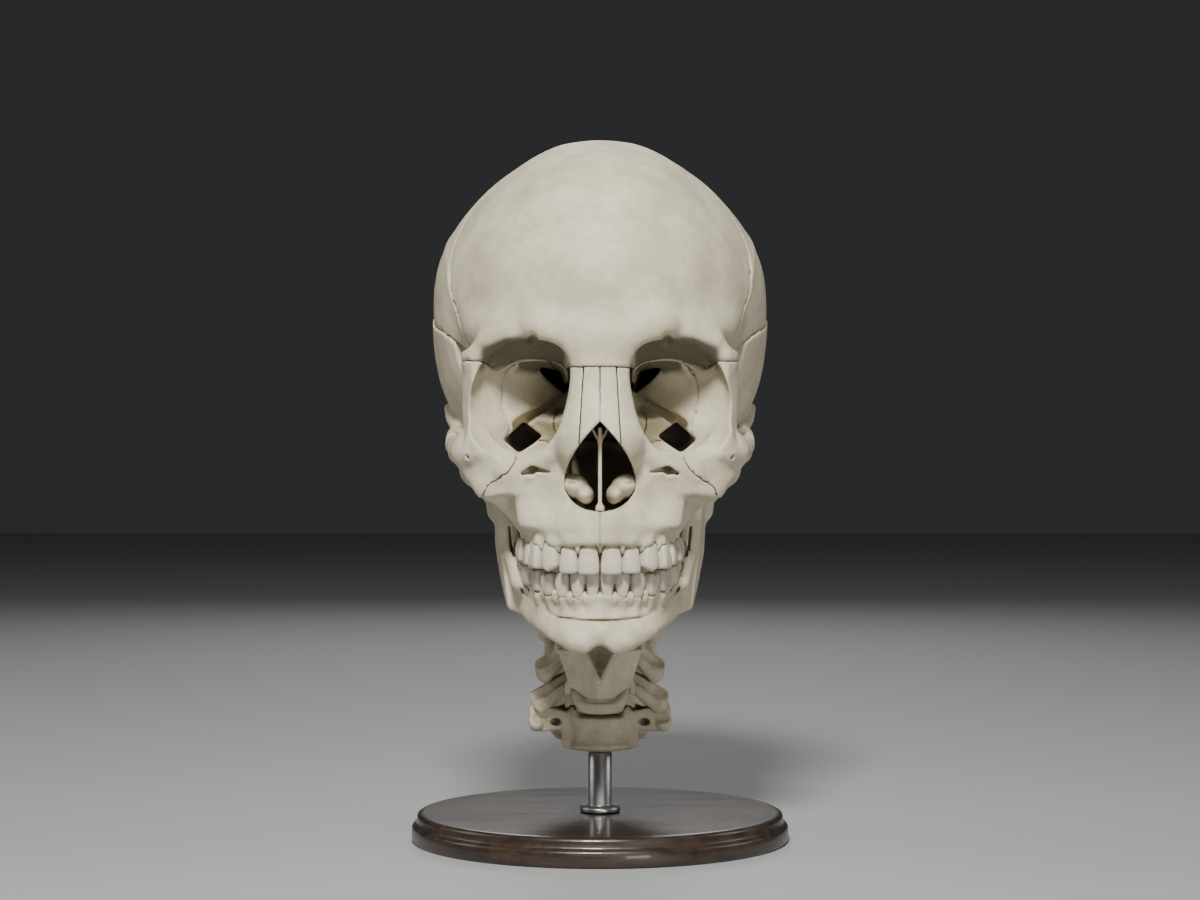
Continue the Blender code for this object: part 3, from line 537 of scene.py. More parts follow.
@dataclass(frozen=True)
class EnamelFinish(Finish):
    """Tooth: ivory crown that turns to a browner neck, with faint upright streaks and painted shade between the
    teeth.
    """

    colour: Triple = (0.60, 0.555, 0.44)
    neck: Triple = (0.36, 0.30, 0.20)
    # Colour of the painted shade in hollows and between the teeth.
    crease_shade: Triple = (0.12, 0.085, 0.05)

    def lay(self, paint: Paint) -> None:
        """Lay the finish on a material.

        Args:
            paint: The material's node tree.
        """
        streaks = paint.node("ShaderNodeMapping", {"Vector": paint.point, "Scale": (1.0, 1.0, 0.15)})
        line = paint.ramp(paint.noise(streaks, 0.8, 3.0), -0.5, 0.6)
        cloud = paint.ramp(paint.noise(paint.point, 5.0, 3.0), -0.6, 0.6)
        colour = paint.mix(line * 0.25 + cloud * 0.25, self.colour, self.neck)
        ridge, hollow = paint.edges()
        # Painted shade in hollows and between the teeth.
        colour = paint.mix(hollow * 0.85, colour, self.crease_shade)
        paint.set(base_color=colour, roughness=0.34 + 0.12 * cloud, coat_weight=0.18 * ridge + 0.06,
                  normal=paint.bump(paint.noise(streaks, 0.7, 2.0), 0.05))


@dataclass(frozen=True)
class WoodFinish(Finish):
    """Dark turned wood under a satin polish."""

    colour: Triple = (0.050, 0.030, 0.018)
    vein: Triple = (0.016, 0.010, 0.007)

    def lay(self, paint: Paint) -> None:
        """Lay the finish on a material.

        Args:
            paint: The material's node tree.
        """
        stretched = paint.node("ShaderNodeMapping", {"Vector": paint.point, "Scale": (0.06, 1.0, 1.0)})
        wave = paint.noise(stretched, 5.0, 6.0, 0.65)
        fine = paint.noise(stretched, 0.8, 4.0, 0.7)
        share = paint.ramp(wave + fine * 0.4, -0.5, 0.6)
        paint.set(base_color=paint.mix(share, self.vein, self.colour), roughness=0.30 + 0.14 * share,
                  coat_weight=0.3, normal=paint.bump(fine, 0.04))


@dataclass(frozen=True)
class SteelFinish(Finish):
    """Brushed steel."""

    colour: Triple = (0.56, 0.56, 0.55)

    def lay(self, paint: Paint) -> None:
        """Lay the finish on a material.

        Args:
            paint: The material's node tree.
        """
        stretched = paint.node("ShaderNodeMapping", {"Vector": paint.point, "Scale": (0.1, 0.1, 3.0)})
        scratch = paint.noise(stretched, 0.8, 3.0)
        paint.set(base_color=(*self.colour, 1.0), metallic=1.0,
                  roughness=0.30 + 0.10 * paint.ramp(scratch, -0.6, 0.6), normal=paint.bump(scratch, 0.01))


@dataclass(frozen=True)
class FloorFinish(Finish):
    """Plain pale floor with the faintest cloud."""

    colour: Triple = (0.36, 0.36, 0.355)

    def lay(self, paint: Paint) -> None:
        """Lay the finish on a material."""
        cloud = paint.ramp(paint.noise(paint.point, 300.0, 2.0), -0.6, 0.6)
        paint.set(base_color=paint.mix(cloud * 0.15, self.colour, (0.31, 0.31, 0.305)), roughness=0.7)


def surface(name: str, form: Form, box: Sequence[Triple], cell: float) -> bpy.types.Mesh:
    """Mesh of the place where a form's distance is zero.

    Args:
        name: The mesh's name.
        form: The form.
        box: Lowest and highest corner of the space searched, in the skull's frame, in millimetres.
        cell: Size of the grid's cells, in millimetres.

    Returns:
        The mesh, in metres.
    """
    cell *= COARSE
    tree = bpy.data.node_groups.new(name + " surface", "GeometryNodeTree")
    tree.interface.new_socket("Geometry", in_out="OUTPUT", socket_type="NodeSocketGeometry")
    graph = Graph(tree)
    made = tree.nodes.new("GeometryNodeGroup")
    made.node_tree = form.tree
    place = Vector((0.0, SHIFT_Y, LIFT))
    low, high = [Vector(corner) + place for corner in box]
    sizes = {"Resolution " + axis: round((end - start) / cell) + 1 for axis, start, end in zip("XYZ", low, high)}
    cube = graph.node("GeometryNodeVolumeCube", {"Density": -Number(graph, made.outputs[0]), "Background": -1.0,
                                                 "Min": low * MM, "Max": high * MM, **sizes})
    skin = graph.node("GeometryNodeVolumeToMesh", {"Volume": cube, "Threshold": 0.0})
    out = tree.nodes.new("NodeGroupOutput")
    tree.links.new(skin.socket, out.inputs[0])
    holder = bpy.data.objects.new(name + " volume", bpy.data.meshes.new(name + " volume"))
    bpy.context.scene.collection.objects.link(holder)
    holder.modifiers.new("surface", "NODES").node_group = tree
    mesh = bpy.data.meshes.new_from_object(holder.evaluated_get(bpy.context.evaluated_depsgraph_get()))
    bpy.data.objects.remove(holder)
    bpy.data.node_groups.remove(tree)
    return mesh


def keep_largest(mesh: bpy.types.Mesh, crumbs: int = 0) -> None:
    """Drop small loose surfaces, and let all faces look outward.

    Args:
        mesh: The mesh to clean.
        crumbs: Keep every surface with at least so many points, or only the largest when zero.
    """
    bm = bmesh.new()
    bm.from_mesh(mesh)
    left = set(bm.verts)
    pieces = []
    while left:
        start = left.pop()
        piece = {start}
        queue = [start]
        while queue:
            for edge in queue.pop().link_edges:
                for vert in edge.verts:
                    if vert in left:
                        left.discard(vert)
                        piece.add(vert)
                        queue.append(vert)
        pieces.append(piece)
    pieces.sort(key=len)
    dropped = [piece for piece in pieces[:-1] if not crumbs or len(piece) < crumbs]
    bmesh.ops.delete(bm, geom=[vert for piece in dropped for vert in piece], context="VERTS")
    bmesh.ops.recalc_face_normals(bm, faces=bm.faces[:])
    bmesh.ops.smooth_vert(bm, verts=bm.verts[:], factor=0.35, use_axis_x=True, use_axis_y=True, use_axis_z=True)
    for face in bm.faces:
        face.smooth = True
    bm.to_mesh(mesh)
    bm.free()


def dress(name: str, mesh: bpy.types.Mesh, finish: Finish, node: str) -> bpy.types.Object:
    """Put a finished mesh in the scene in place of a node.

    Args:
        name: The piece's name.
        mesh: Its mesh.
        finish: Its finish.
        node: The node that it stands for.

    Returns:
        The piece.
    """
    mesh.name = name
    mesh.materials.clear()
    mesh.materials.append(finish.material())
    piece = bpy.data.objects.new(name, mesh)
    bpy.context.scene.collection.objects.link(piece)
    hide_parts(node)
    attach(piece, "root")
    log.info("%s: %d faces", name, len(mesh.polygons))
    return piece


def carve(node: str, form: Form, box: Sequence[Triple], cell: float, finish: Finish, ending: str = "",
          crumbs: int = 0) -> bpy.types.Object:
    """Turn a form into a finished piece.

    Args:
        node: The node that the piece stands for.
        form: Its form.
        box: The space that holds it.
        cell: Size of the grid's cells, in millimetres.
        finish: Its finish.
        ending: What the piece's name has after the node's.
        crumbs: Keep every surface with at least so many points, or only the largest when zero.

    Returns:
        The piece.
    """
    mesh = surface(node, form, box, cell)
    keep_largest(mesh, crumbs)
    return dress("fine_" + node + ending, mesh, finish, node)


def mirrored(low: Triple, high: Triple, side: Side) -> Sequence[Triple]:
    """A box for one side; low and high are given for the left side, which has x above zero.

    Args:
        low: Its lowest corner on the left side.
        high: Its highest corner on the left side.
        side: The side wanted.

    Returns:
        The lowest and the highest corner.
    """
    if side is Side.RIGHT:
        return (-high[0], low[1], low[2]), (-low[0], high[1], high[2])
    return low, high


def clear_of(name: str, form: Form, others: Iterable[Form], gap: float, side: Side = Side.MIDDLE) -> Form:
    """The form cut back so that it stays a gap away from the others, and kept to one side if one is given.

    Args:
        name: The new form's name.
        form: The form.
        others: The forms that it stays clear of.
        gap: The distance kept, in millimetres.
        side: The half that it is kept to.

    Returns:
        The form.
    """
    f = Form(name)
    found = f.use(form)
    for other in others:
        found = f.most(found, gap - f.use(other))
    if side is not Side.MIDDLE:
        found = f.most(found, f.side * -side.value)
    return f.done(found)


@dataclass
class Braincase:
    """The vault and the skull's underside."""

    half_width: float = 71.0
    half_length: float = 89.5
    half_height: float = 69.0
    centre_z: float = 58.0
    brow_z: float = 46.0

    def vault(self) -> Form:
        """The egg of the braincase, with the bump at the back that the neck muscles pull on.

        Returns:
            The form.
        """
        f = Form("vault")
        whole = f.union(
            f.ellipsoid((0, 2, self.centre_z), (self.half_width, self.half_length, self.half_height),
                        turn=(-3, 0, 0)),
            f.ellipsoid((0, -31, 63), (57, 65, 57)),
            f.ellipsoid((0, 10, 36), (self.half_width - 1.8, 78, 58)),
            f.ellipsoid((20, 44, 4), (30, 34, 26)), f.ellipsoid((0, 62, 12), (26, 24, 22)), blend=12.0)
        inion = f.ellipsoid((0, 80, 1), (10, 7, 6))
        gable = 2.4 * f.ramp(f.z, 68, 105) * f.ramp(f.x, 14, 40)
        whole = f.union(whole, inion, blend=14.0) + gable
        line = f.chain([(0, 87, 1, 3), (22, 79, 4, 3), (42, 62, 2, 3), (54, 40, -4, 3)])
        lower_line = f.chain([(0, 68, -14, 2.5), (20, 60, -17, 2.5), (36, 44, -19, 2.5)])
        crest = f.bar((0, 84, -2), (0, 48, -22), 2.0)
        whole = whole + f.ramp(f.union(line, lower_line, crest), -1.0, 7.0, -0.9, 0.0)
        temple = f.plane((0, -56, 38), (0, -0.83, 0.56))
        ring = abs(f.ellipsoid((60, 4, 34), (60, 56, 52))) + f.ramp(temple, -8, 8, 0.0, 2.0)
        return f.done(whole + f.ramp(ring, 0.0, 5.0, -0.45, 0.0) + f.noise(f.true_point, 22.0, 2.0) * 0.3)

    def brow(self) -> Form:
        """The ridge over the eyes, its outer corner and the root of the nose.

        Returns:
            The form.
        """
        f = Form("brow")
        ridge = f.ellipsoid((0, -46, self.brow_z), (57, 45.5, 20))
        corner = f.chain([(34, -80, 42.5, 6), (44, -74, 39, 5.2), (50.5, -67, 31, 4)])
        arch = f.ellipsoid((16, -86, 43), (15, 8, 8), turn=(0, -14, -8))
        glabella = f.ellipsoid((0, -86, 39), (16, 11, 12))
        nasion = f.ellipsoid((0, -82, 30), (13, 12, 14))
        return f.done(f.union(ridge, corner, arch, glabella, nasion, blend=9.0))

    def base(self) -> Form:
        """The underside: ear bumps, joint knobs, wing plates, and the thin spikes beside the ear.

        Returns:
            The form.
        """
        f = Form("skull base")
        body = f.ellipsoid((0, -30, 4), (20, 24, 16))
        outer_plate = f.chain([(17, -40, -4, 3), (21, -33, -26, 1.8)], flat=(0.6, 2.6, 1))
        inner_plate = f.chain([(12.5, -42, -4, 3), (13.5, -40, -30, 1.8)], flat=(0.6, 2.2, 1))
        mastoid = f.chain([(53, 12, 4, 10.2), (51.5, 10, -12, 9.0), (45.5, 6, -23, 5)])
        groove = f.bar((42, 22, -20), (45, 2, -24), 2.6)
        basilar = f.chain([(0, -20, -4, 11), (0, 0, -16, 7)])
        condyle = f.ellipsoid((14, 8, -23.5), (5.5, 12, 6.5), turn=(0, 0, -25))
        eminence = f.chain([(40, -25, -2, 5), (59, -24, 0, 4)])
        petrous = f.chain([(52, 0, -6, 7), (34, -8, -10, 7), (16, -18, -8, 6)])
        drum = f.chain([(59, -4, -5, 5.5), (42, -5, -8, 6)])
        spike = f.bar((41, -2, -8), (38, -9, -33), 3.4, 0.9)
        core = f.union(body, outer_plate, inner_plate, blend=4.0)
        whole = f.union(core, petrous, basilar, condyle, eminence, drum, blend=5.0)
        whole = f.union(whole, f.cut(mastoid, groove, blend=2.5), blend=5.0)
        return f.done(f.union(whole, spike, blend=2.5))


@dataclass
class Face:
    """Cheeks, upper jaw, eye sockets and nose."""

    half_width: float = 60.0
    front_y: float = -88.0
    socket_inner: float = 13.0
    socket_outer: float = 52.0
    socket_top: float = 39.0
    socket_floor: float = -8.2
    nose_top: float = 6.6
    nose_sill: float = -28.8
    nose_half_width: float = 14.3
    dental_half_width: float = 32.4
    dental_front_y: float = -96.0
    bite_slope: float = 0.14
    roots: Sequence[Triple] = ((4.6, -94.4, 13), (12.2, -92.4, 12), (19.2, -87.6, 16), (24.6, -80.4, 11),
                               (27.6, -72.6, 9), (31.0, -63.6, 8), (32.0, -53.6, 7))

    def cheek(self) -> Form:
        """The cheek bone, with its pillar beside the eye and the arch back to the ear.

        Returns:
            The form.
        """
        f = Form("cheek")
        skin = f.column(-44, self.half_width + 0.5, 45.0)
        body = f.most(skin, -(skin + 7.5), f.plane((0, -56, 0), (0, 1, 0)), f.plane((47.7, 0, -24.5), (19, 0, -15.3)),
                      f.plane((47.7, 0, -24.0), (-0.14, 0, -1)), f.plane((30, 0, 0), (-1, 0, 0)),
                      f.plane((0, 0, 2), (0, 0, 1)), blend=3.5)
        pillar = f.most(f.block((50.5, -66.0, 14), (3.2, 8.0, 22), 2.5, turn=(0, 3, -24)),
                        f.plane((0, 0, 36), (0, 0, 1)))
        corner = f.chain([(49, -69, 2, 4.5), (50, -66, -5, 6), (55, -60, -5, 5.2)])
        wall = f.block((36, -54.5, 13), (18, 3.0, 21), 2.8, turn=(0, 0, -32))
        arch = f.chain([(55, -60, -5, 6.5), (59.2, -50, -4.0, 5.2), (61.0, -39, -2.5, 4.4), (61.6, -26, -0.5, 4.0),
                        (60.8, -12, 1.5, 4.2), (58.5, 0, 3, 4.5)], flat=(0.6, 1, 1))
        root = f.chain([(61, -6, 5, 2.2), (64, 8, 9, 2.0), (66.5, 24, 14, 1.2)])
        whole = f.union(body, corner, pillar, wall, arch, blend=4.0)
        whole = f.union(whole, root, blend=5.0)
        pore = f.bar((58, -74, -8), (44, -62, -6), 0.8)
        return f.done(f.cut(whole, pore, blend=1.2))

    def upper_jaw(self, teeth: "Dentition") -> Form:
        """The upper jaw and nose bridge, with the swellings over the roots of its teeth.

        Args:
            teeth: The row of teeth in this jaw.

        Returns:
            The form.
        """
        f = Form("upper jaw")
        rim = f.chain([(15.5, -86.5, 14, 3.4), (16.5, -86.5, 3, 4.4), (20, -84.5, -5.5, 4.8), (27, -81.0, -11.0, 5.0),
                       (36, -75.5, -13.5, 5.0)])
        body = f.most(f.column(-44, self.half_width, -44 - self.front_y), f.plane((34, 0, -25), (1, 0, -0.12)),
                      f.plane((0, 0, -7), (0, 0, 1)), f.plane((0, 0, -36), (0, 0, -1)),
                      f.plane((0, -46, 0), (0, 1, 0)), blend=5.0)
        nose = f.most(f.bar((0, -83.5, 34), (0, -88.0, 0), 10.0, 17.0, flat=(1.06, 1, 1)),
                      f.plane((0, -84, 0), (0, 1, -0.2)), blend=2.0)
        buttress = f.chain([(44, -68, -19, 5), (37, -66, -23, 6.0), (30, -60, -32, 5)])
        arch = f.most(f.column(-51, self.dental_half_width, -51 - self.dental_front_y),
                      f.plane((0, 0, -27), (0, 0, 1)), f.plane((0, -44, 0), (0, 1, 0)), blend=5.0)
        arch = f.most(arch, f.plane((0, -60, -46.4), (0, -self.bite_slope, -1)), blend=2.0)
        swellings = [f.bar((x * 0.97, y + 1.2, -44.0 + 0.14 * (-60 - y)), (x * 0.90, y + 3.6, -44.0 + height),
                           2.4, 1.6) for x, y, height in self.roots]
        spine = f.bar((0, -90, -28), (0, -97.5, -27), 3.0, 0.9)
        sill = f.ellipsoid((0, -84, -34), (22, 11.5, 8))
        between = f.block((0, -68, 14), (12.0, 20, 15), 4)
        whole = f.union(body, rim, nose, buttress, arch, sill, between, blend=5.0)
        whole = f.union(whole, *swellings, blend=3.0)
        whole = f.union(whole, *teeth.septa(f), blend=1.2)
        return f.done(f.union(whole, spine, blend=3.0))

    def socket(self) -> Form:
        """The eye socket: a rounded square that leans, narrows to the back and turns to the middle.

        Returns:
            The form.
        """
        f = Form("eye socket")
        lateral = f.ramp(f.y, -70, -42, self.socket_outer, 18.0)
        medial = f.ramp(f.y, -86, -42, self.socket_inner, 12.6)
        top = f.ramp(f.y, -84, -42, self.socket_top, 27.0)
        floor = f.ramp(f.y, -82, -46, self.socket_floor, 11.0)
        half_x = (lateral - medial) * 0.5
        half_z = (top - floor) * 0.5
        lean = f.ramp(f.y, -80, -50, 0.20, 0.0)
        up = f.z - (top + floor) * 0.5
        across = abs(f.x - (lateral + medial) * 0.5 + up * lean) / half_x
        up = abs(up) / half_z
        power = 2.7
        size = f.math("POWER", f.math("POWER", across, power) + f.math("POWER", up, power), 1.0 / power)
        side = (size - 1.0) * f.math("MINIMUM", half_x, half_z)
        return f.done(f.most(side, f.plane((0, -42, 0), (0, 1, 0)), blend=4.0))

    def socket_slits(self) -> Form:
        """The slits and small openings at the back and rim of the socket.

        Returns:
            The form.
        """
        f = Form("socket slits")
        upper = f.chain([(14.8, -43, 20.5, 1.6), (18.5, -43, 25.5, 3.3), (25.5, -45, 29.6, 1.5)], flat=(1, 5, 1))
        gap = f.chain([(15, -43, 18.2, 1.1), (22.5, -47, 12.8, 1.8), (30, -53, 8.4, 2.5), (33, -58, 5.5, 3.0)],
                      flat=(1, 3, 1))
        hole = f.most(f.plane((39.5, 0, -0.5), (5.5, 0, 5.3)), f.plane((39.2, 0, -0.5), (3.2, 0, -3.7)),
                      f.plane((27.5, 0, -2.1), (-3.7, 0, -5.6)), f.plane((23.4, 0, 1.6), (-8.4, 0, 10.9)),
                      f.plane((0, -72, 0), (0, -1, 0)), f.plane((0, -34, 0), (0, 1, 0)), blend=2.5)
        lower = f.union(gap, hole)
        canal = f.bar((13.5, -50, 21.5), (11.5, -34, 22.5), 2.1)
        tear = f.chain([(14.0, -80, 8, 1.4), (15.5, -79, -1, 2.2), (16.5, -76, -9, 2.2)])
        notch = f.bar((26.6, -96, 40.6), (26.6, -76, 37.5), 1.7)
        return f.done(f.union(upper, lower, canal, tear, notch))

    def nose(self) -> Form:
        """The pear-shaped opening, with the two airways behind it.

        Returns:
            The form.
        """
        f = Form("nose opening")
        height = self.nose_top - self.nose_sill
        share = f.math("MULTIPLY", f.z - self.nose_sill, 1.0 / height, clamp=True)
        width = 2.53 * self.nose_half_width * f.math("POWER", share, 0.5) * (1.0 - share)
        opening = f.most(f.x - width, f.plane((0, -76, 0), (0, 1, 0)), self.nose_sill - f.z, f.z - self.nose_top)
        cavity = f.block((0, -67, -16.5), (12.5, 20, 12.5), 6)
        upper = f.block((0, -72, 6), (7.0, 20, 16), 4)
        return f.done(f.union(opening, cavity, upper))

    def concha(self) -> Form:
        """The scroll that hangs in each side of the nose.

        Returns:
            The form.
        """
        f = Form("nasal concha")
        scroll = f.union(f.ellipsoid((10.2, -78.6, -18.8), (6.0, 11.5, 4.8), turn=(0, -16, 0)),
                         f.ellipsoid((6.2, -78.2, -22.0), (3.8, 11.5, 4.2), turn=(0, 20, 0)), blend=1.2)
        hollow = f.ellipsoid((10.4, -78, -28.4), (5.2, 14, 4.4), turn=(0, -10, 0))
        crease = f.chain([(5, -89.0, -20.4, 0.5), (9, -89.5, -18, 0.5), (13, -88, -17.5, 0.5)])
        return f.done(f.most(f.cut(f.cut(scroll, hollow, blend=1.0), crease, blend=1.5), 1.7 - f.x))

    def vomer(self) -> Form:
        """The thin wall that parts the two airways, with a forked top.

        Returns:
            The form.
        """
        f = Form("vomer")
        wall = f.block((0, -73, -12.5), (0.75, 18, 17.0), 0.6)
        fork = f.block((1.6, -76, 1.2), (0.5, 12, 3.6), 0.4, turn=(0, 28, 0))
        foot = f.bar((0, -90, -27.5), (0, -72, -27.5), 1.8)
        return f.done(f.union(wall, fork, foot, blend=1.0))


class Seams:
    """The seams between the bones, each as a field that is negative on the side of the bone it is named after."""

    def __init__(self, f: Form) -> None:
        """Draw the seams.

        Args:
            f: The form that they are drawn in.
        """
        x, y, z = f.x, f.y, f.z
        fold = f.noise(f.true_point, 5.0, 3.0, 0.6)
        tooth = f.noise(f.true_point, 2.6, 2.0, 0.6)
        ripple = f.noise(f.true_point, 7.0, 2.0)
        swing = fold * 2.2 + tooth * 1.0
        high = f.ramp(z, 55, 85, 0.35, 1.0)
        self.front = (y + 77.3 - 0.55 * z) * 0.876 + swing * high
        self.rear = 45.1 - (0.9355 * y - 0.354 * z) + swing * 1.4
        inside = 28.0 + f.ramp(x, 15, 28, 0.0, 2.6) + f.ramp(x, 28, 40, 0.0, -6.6) + f.ramp(x, 40, 48, 0.0, 7.0)
        outside = f.ramp(y, -66, -52)
        self.brow = inside + (36.0 - inside) * outside - z + ripple * 0.8
        rise = f.ramp(y, -52, -22, 36.0, 46.0) + f.ramp(y, -22, 6, 0.0, 6.0) + f.ramp(y, 10, 52, 0.0, -43.0)
        self.upper = (rise - z) * 0.85 + fold * 1.5 + tooth * 0.8
        self.nape = f.most(0.8 * (x - 25.0) - 0.6 * (y - 8.0), -5.0 - y) + ripple * 0.8
        hinge = f.union(-22.0 - y, f.most(-38.0 - y, 54.0 - x)) + ripple * 0.9
        self.ear = f.most(hinge, 22.0 - x, -self.nape)
        cheek_edge = 33.0 - (0.757 * x + 0.654 * z) - 12.8 + ripple * 1.6 + tooth * 0.6
        cheek_edge = cheek_edge - 1.3 * f.math("SINE", (x - 33.0) * 0.42)
        behind = f.union(y + 58.0, f.most(y + 38.0, 54.0 - x)) + ripple * 0.6
        self.cheek = f.most(cheek_edge, behind, 33.3 - x)
        self.face = y + f.union(f.ramp(z, -3, 4, 46.0, 62.0), f.ramp(x, 16, 21, 46.0, 62.0)) + ripple * 0.4
        self.nasal = f.most(x - 6.4 - (28.0 - z) * 0.058 + tooth * 0.25, -4.5 - z, y + 90.0)
        self.sieve = f.most(x - 12.2, 0.0 - z, -84.0 - y, y + 48.0)
        self.middle = f.side + swing * f.ramp(z, 60, 95) + tooth * 0.2


@dataclass
class Head:
    """All bones of the head but the lower jaw: one form, parted along the seams."""

    case: Braincase = field(default_factory=Braincase)
    face: Face = field(default_factory=Face)
    bone: BoneFinish = BoneFinish("dry bone")
    face_bone: BoneFinish = BoneFinish("dry face bone", colour=(0.48, 0.42, 0.29), pale=(0.71, 0.645, 0.47),
                                       patch=14.0)
    seam: float = 0.36

    def whole(self, teeth: "Dentition") -> Form:
        """Every bone of the head in one piece, with all its openings.

        Args:
            teeth: The upper teeth.

        Returns:
            The form.
        """
        f = Form("head")
        skull = f.union(f.use(self.case.vault()), f.use(self.case.brow()), blend=9.0)
        skull = f.union(skull, f.use(self.case.base()), blend=5.0)
        skull = f.union(skull, f.use(self.face.cheek()), f.use(self.face.upper_jaw(teeth)), blend=5.0)
        skull = f.cut(skull, f.use(self.face.socket()), blend=2.0)
        skull = f.cut(skull, f.use(self.face.nose()), blend=1.0)
        holes = (
            (f.bar((75, 1, -1), (50, -2, -3), 3.6), 1.5),
            (f.ellipsoid((48.5, -12.5, -7.0), (11.0, 7.5, 6.0)), 2.0),
            (f.ellipsoid((0, 20, -24), (15, 18, 26)), 3.0),
            (f.ellipsoid((0, -55, -45), (19, 27, 13)), 4.0),
            (f.ellipsoid((25, -92, -24), (9, 9.5, 10)), 6.0),
            (f.ellipsoid((74, -52, 28), (17, 20, 34)), 9.0),
            (f.use(self.face.socket_slits()), 1.2),
            (f.chain([(30.6, -84, -13.8, 0.8), (26.6, -84, -11.8, 1.2), (20.0, -86, -13.2, 0.5)],
                     flat=(1, 5, 1)), 0.8),
            (f.bar((28, -92, -15), (26.5, -76, -11), 1.5), 2.2),
            (f.ellipsoid((17, -40, -18), (3.0, 8, 16)), 2.0),
            (f.bar((25, -22, -20), (24, -20, 0), 2.4), 1.5),
            (f.bar((30, -8, -30), (31, -4, 0), 3.2), 2.0),
            (f.bar((20, 2, -34), (26, -4, -8), 2.6), 2.0))
        for tool, blend in holes:
            skull = f.cut(skull, tool, blend=blend)
        return f.done(skull + f.noise(f.true_point, 9.0, 3.0) * 0.16)

    def bone_form(self, name: str, whole: Form, choose: Callable[[Seams, Form], Number],
                  side: Side = Side.MIDDLE, proud: float = 0.0, soft: float = 0.3) -> Form:
        """One bone of the head.

        Args:
            name: The form's name.
            whole: The head.
            choose: Gives the bone's region from the seams.
            side: The half that it is kept to.
            proud: How far its skin stands over its neighbours, in millimetres.
            soft: How far its edges at the seams are rounded, in millimetres.

        Returns:
            The bone's form.
        """
        f = Form(name)
        seams = Seams(f)
        region = choose(seams, f)
        if side is not Side.MIDDLE:
            region = f.most(region, seams.middle * -side.value - 0.18 * f.ramp(f.z, 0, 30, 1.0, 0.0))
        return f.done(f.most(f.use(whole) - proud, region + self.seam / 2, blend=soft))

    def build(self, teeth: "Dentition", upper_row: Form) -> Form:
        """Build every bone of the head.

        Args:
            teeth: The upper teeth.
            upper_row: Their form, which the jaw bones leave room for.

        Returns:
            The whole head's form.
        """
        whole = self.whole(teeth)
        make, bone, pale = self.bone_form, self.bone, self.face_bone
        carve("frontal", make("frontal", whole, lambda s, f: f.most(s.front, s.brow)),
              ((-68, -108, 18), (68, 4, 134)), 0.95, bone)
        carve("occipital", make("occipital", whole, lambda s, f: f.union(
            f.most(s.rear, s.upper), f.most(s.nape, -s.upper))), ((-70, -14, -40), (70, 102, 98)), 1.1, bone)
        carve("sphenoid", make("sphenoid", whole, lambda s, f: f.most(
            -s.brow, -s.upper, -s.nape, -s.ear, -s.cheek, -s.face, -s.sieve), proud=0.3),
            ((-70, -64, -36), (70, 0, 46)), 0.85, bone)
        for side in (Side.LEFT, Side.RIGHT):
            carve("parietal" + side.ending, make("parietal", whole, lambda s, f: f.most(
                -s.front, -s.rear, s.upper), side), mirrored((-4, -68, 4), (78, 94, 134), side), 1.1, bone)
            carve("temporal" + side.ending, make("temporal", whole, lambda s, f: f.most(
                s.ear, -s.upper), side, 0.5), mirrored((18, -44, -42), (78, 62, 54), side), 0.8, bone)
            carve("zygomatic" + side.ending, make("zygomatic", whole, lambda s, f: f.most(
                s.cheek, -s.brow), side), mirrored((28, -90, -32), (72, -34, 36), side), 0.6, pale)
            carve("nasal" + side.ending, make("nasal", whole, lambda s, f: f.most(
                s.nasal, -s.brow), side, soft=0.12), mirrored((-2, -112, -8), (12, -86, 34), side), 0.42, pale)
            jaw = clear_of("maxilla", make("maxilla", whole, lambda s, f: f.most(
                s.face, -s.cheek, -s.brow, -s.nasal, -s.sieve), side, soft=0.12), [upper_row], SOCKET_GAP)
            carve("maxilla" + side.ending, jaw, mirrored((-2, -104, -56), (46, -40, 34), side), 0.55, pale)
            scroll = clear_of("concha", self.face.concha(), [whole], WALL_GAP, side)
            carve("nasal_concha" + side.ending, scroll, mirrored((-1, -98, -32), (18, -60, -4), side), 0.5, pale)
        carve("ethmoid", make("ethmoid", whole, lambda s, f: f.most(s.sieve, -s.brow)),
              ((-16, -88, -4), (16, -44, 34)), 0.7, pale)
        wall = clear_of("wall", self.face.vomer(), [whole], WALL_GAP)
        carve("vomer", wall, ((-4, -96, -34), (4, -50, 10)), 0.35, pale)
        return whole


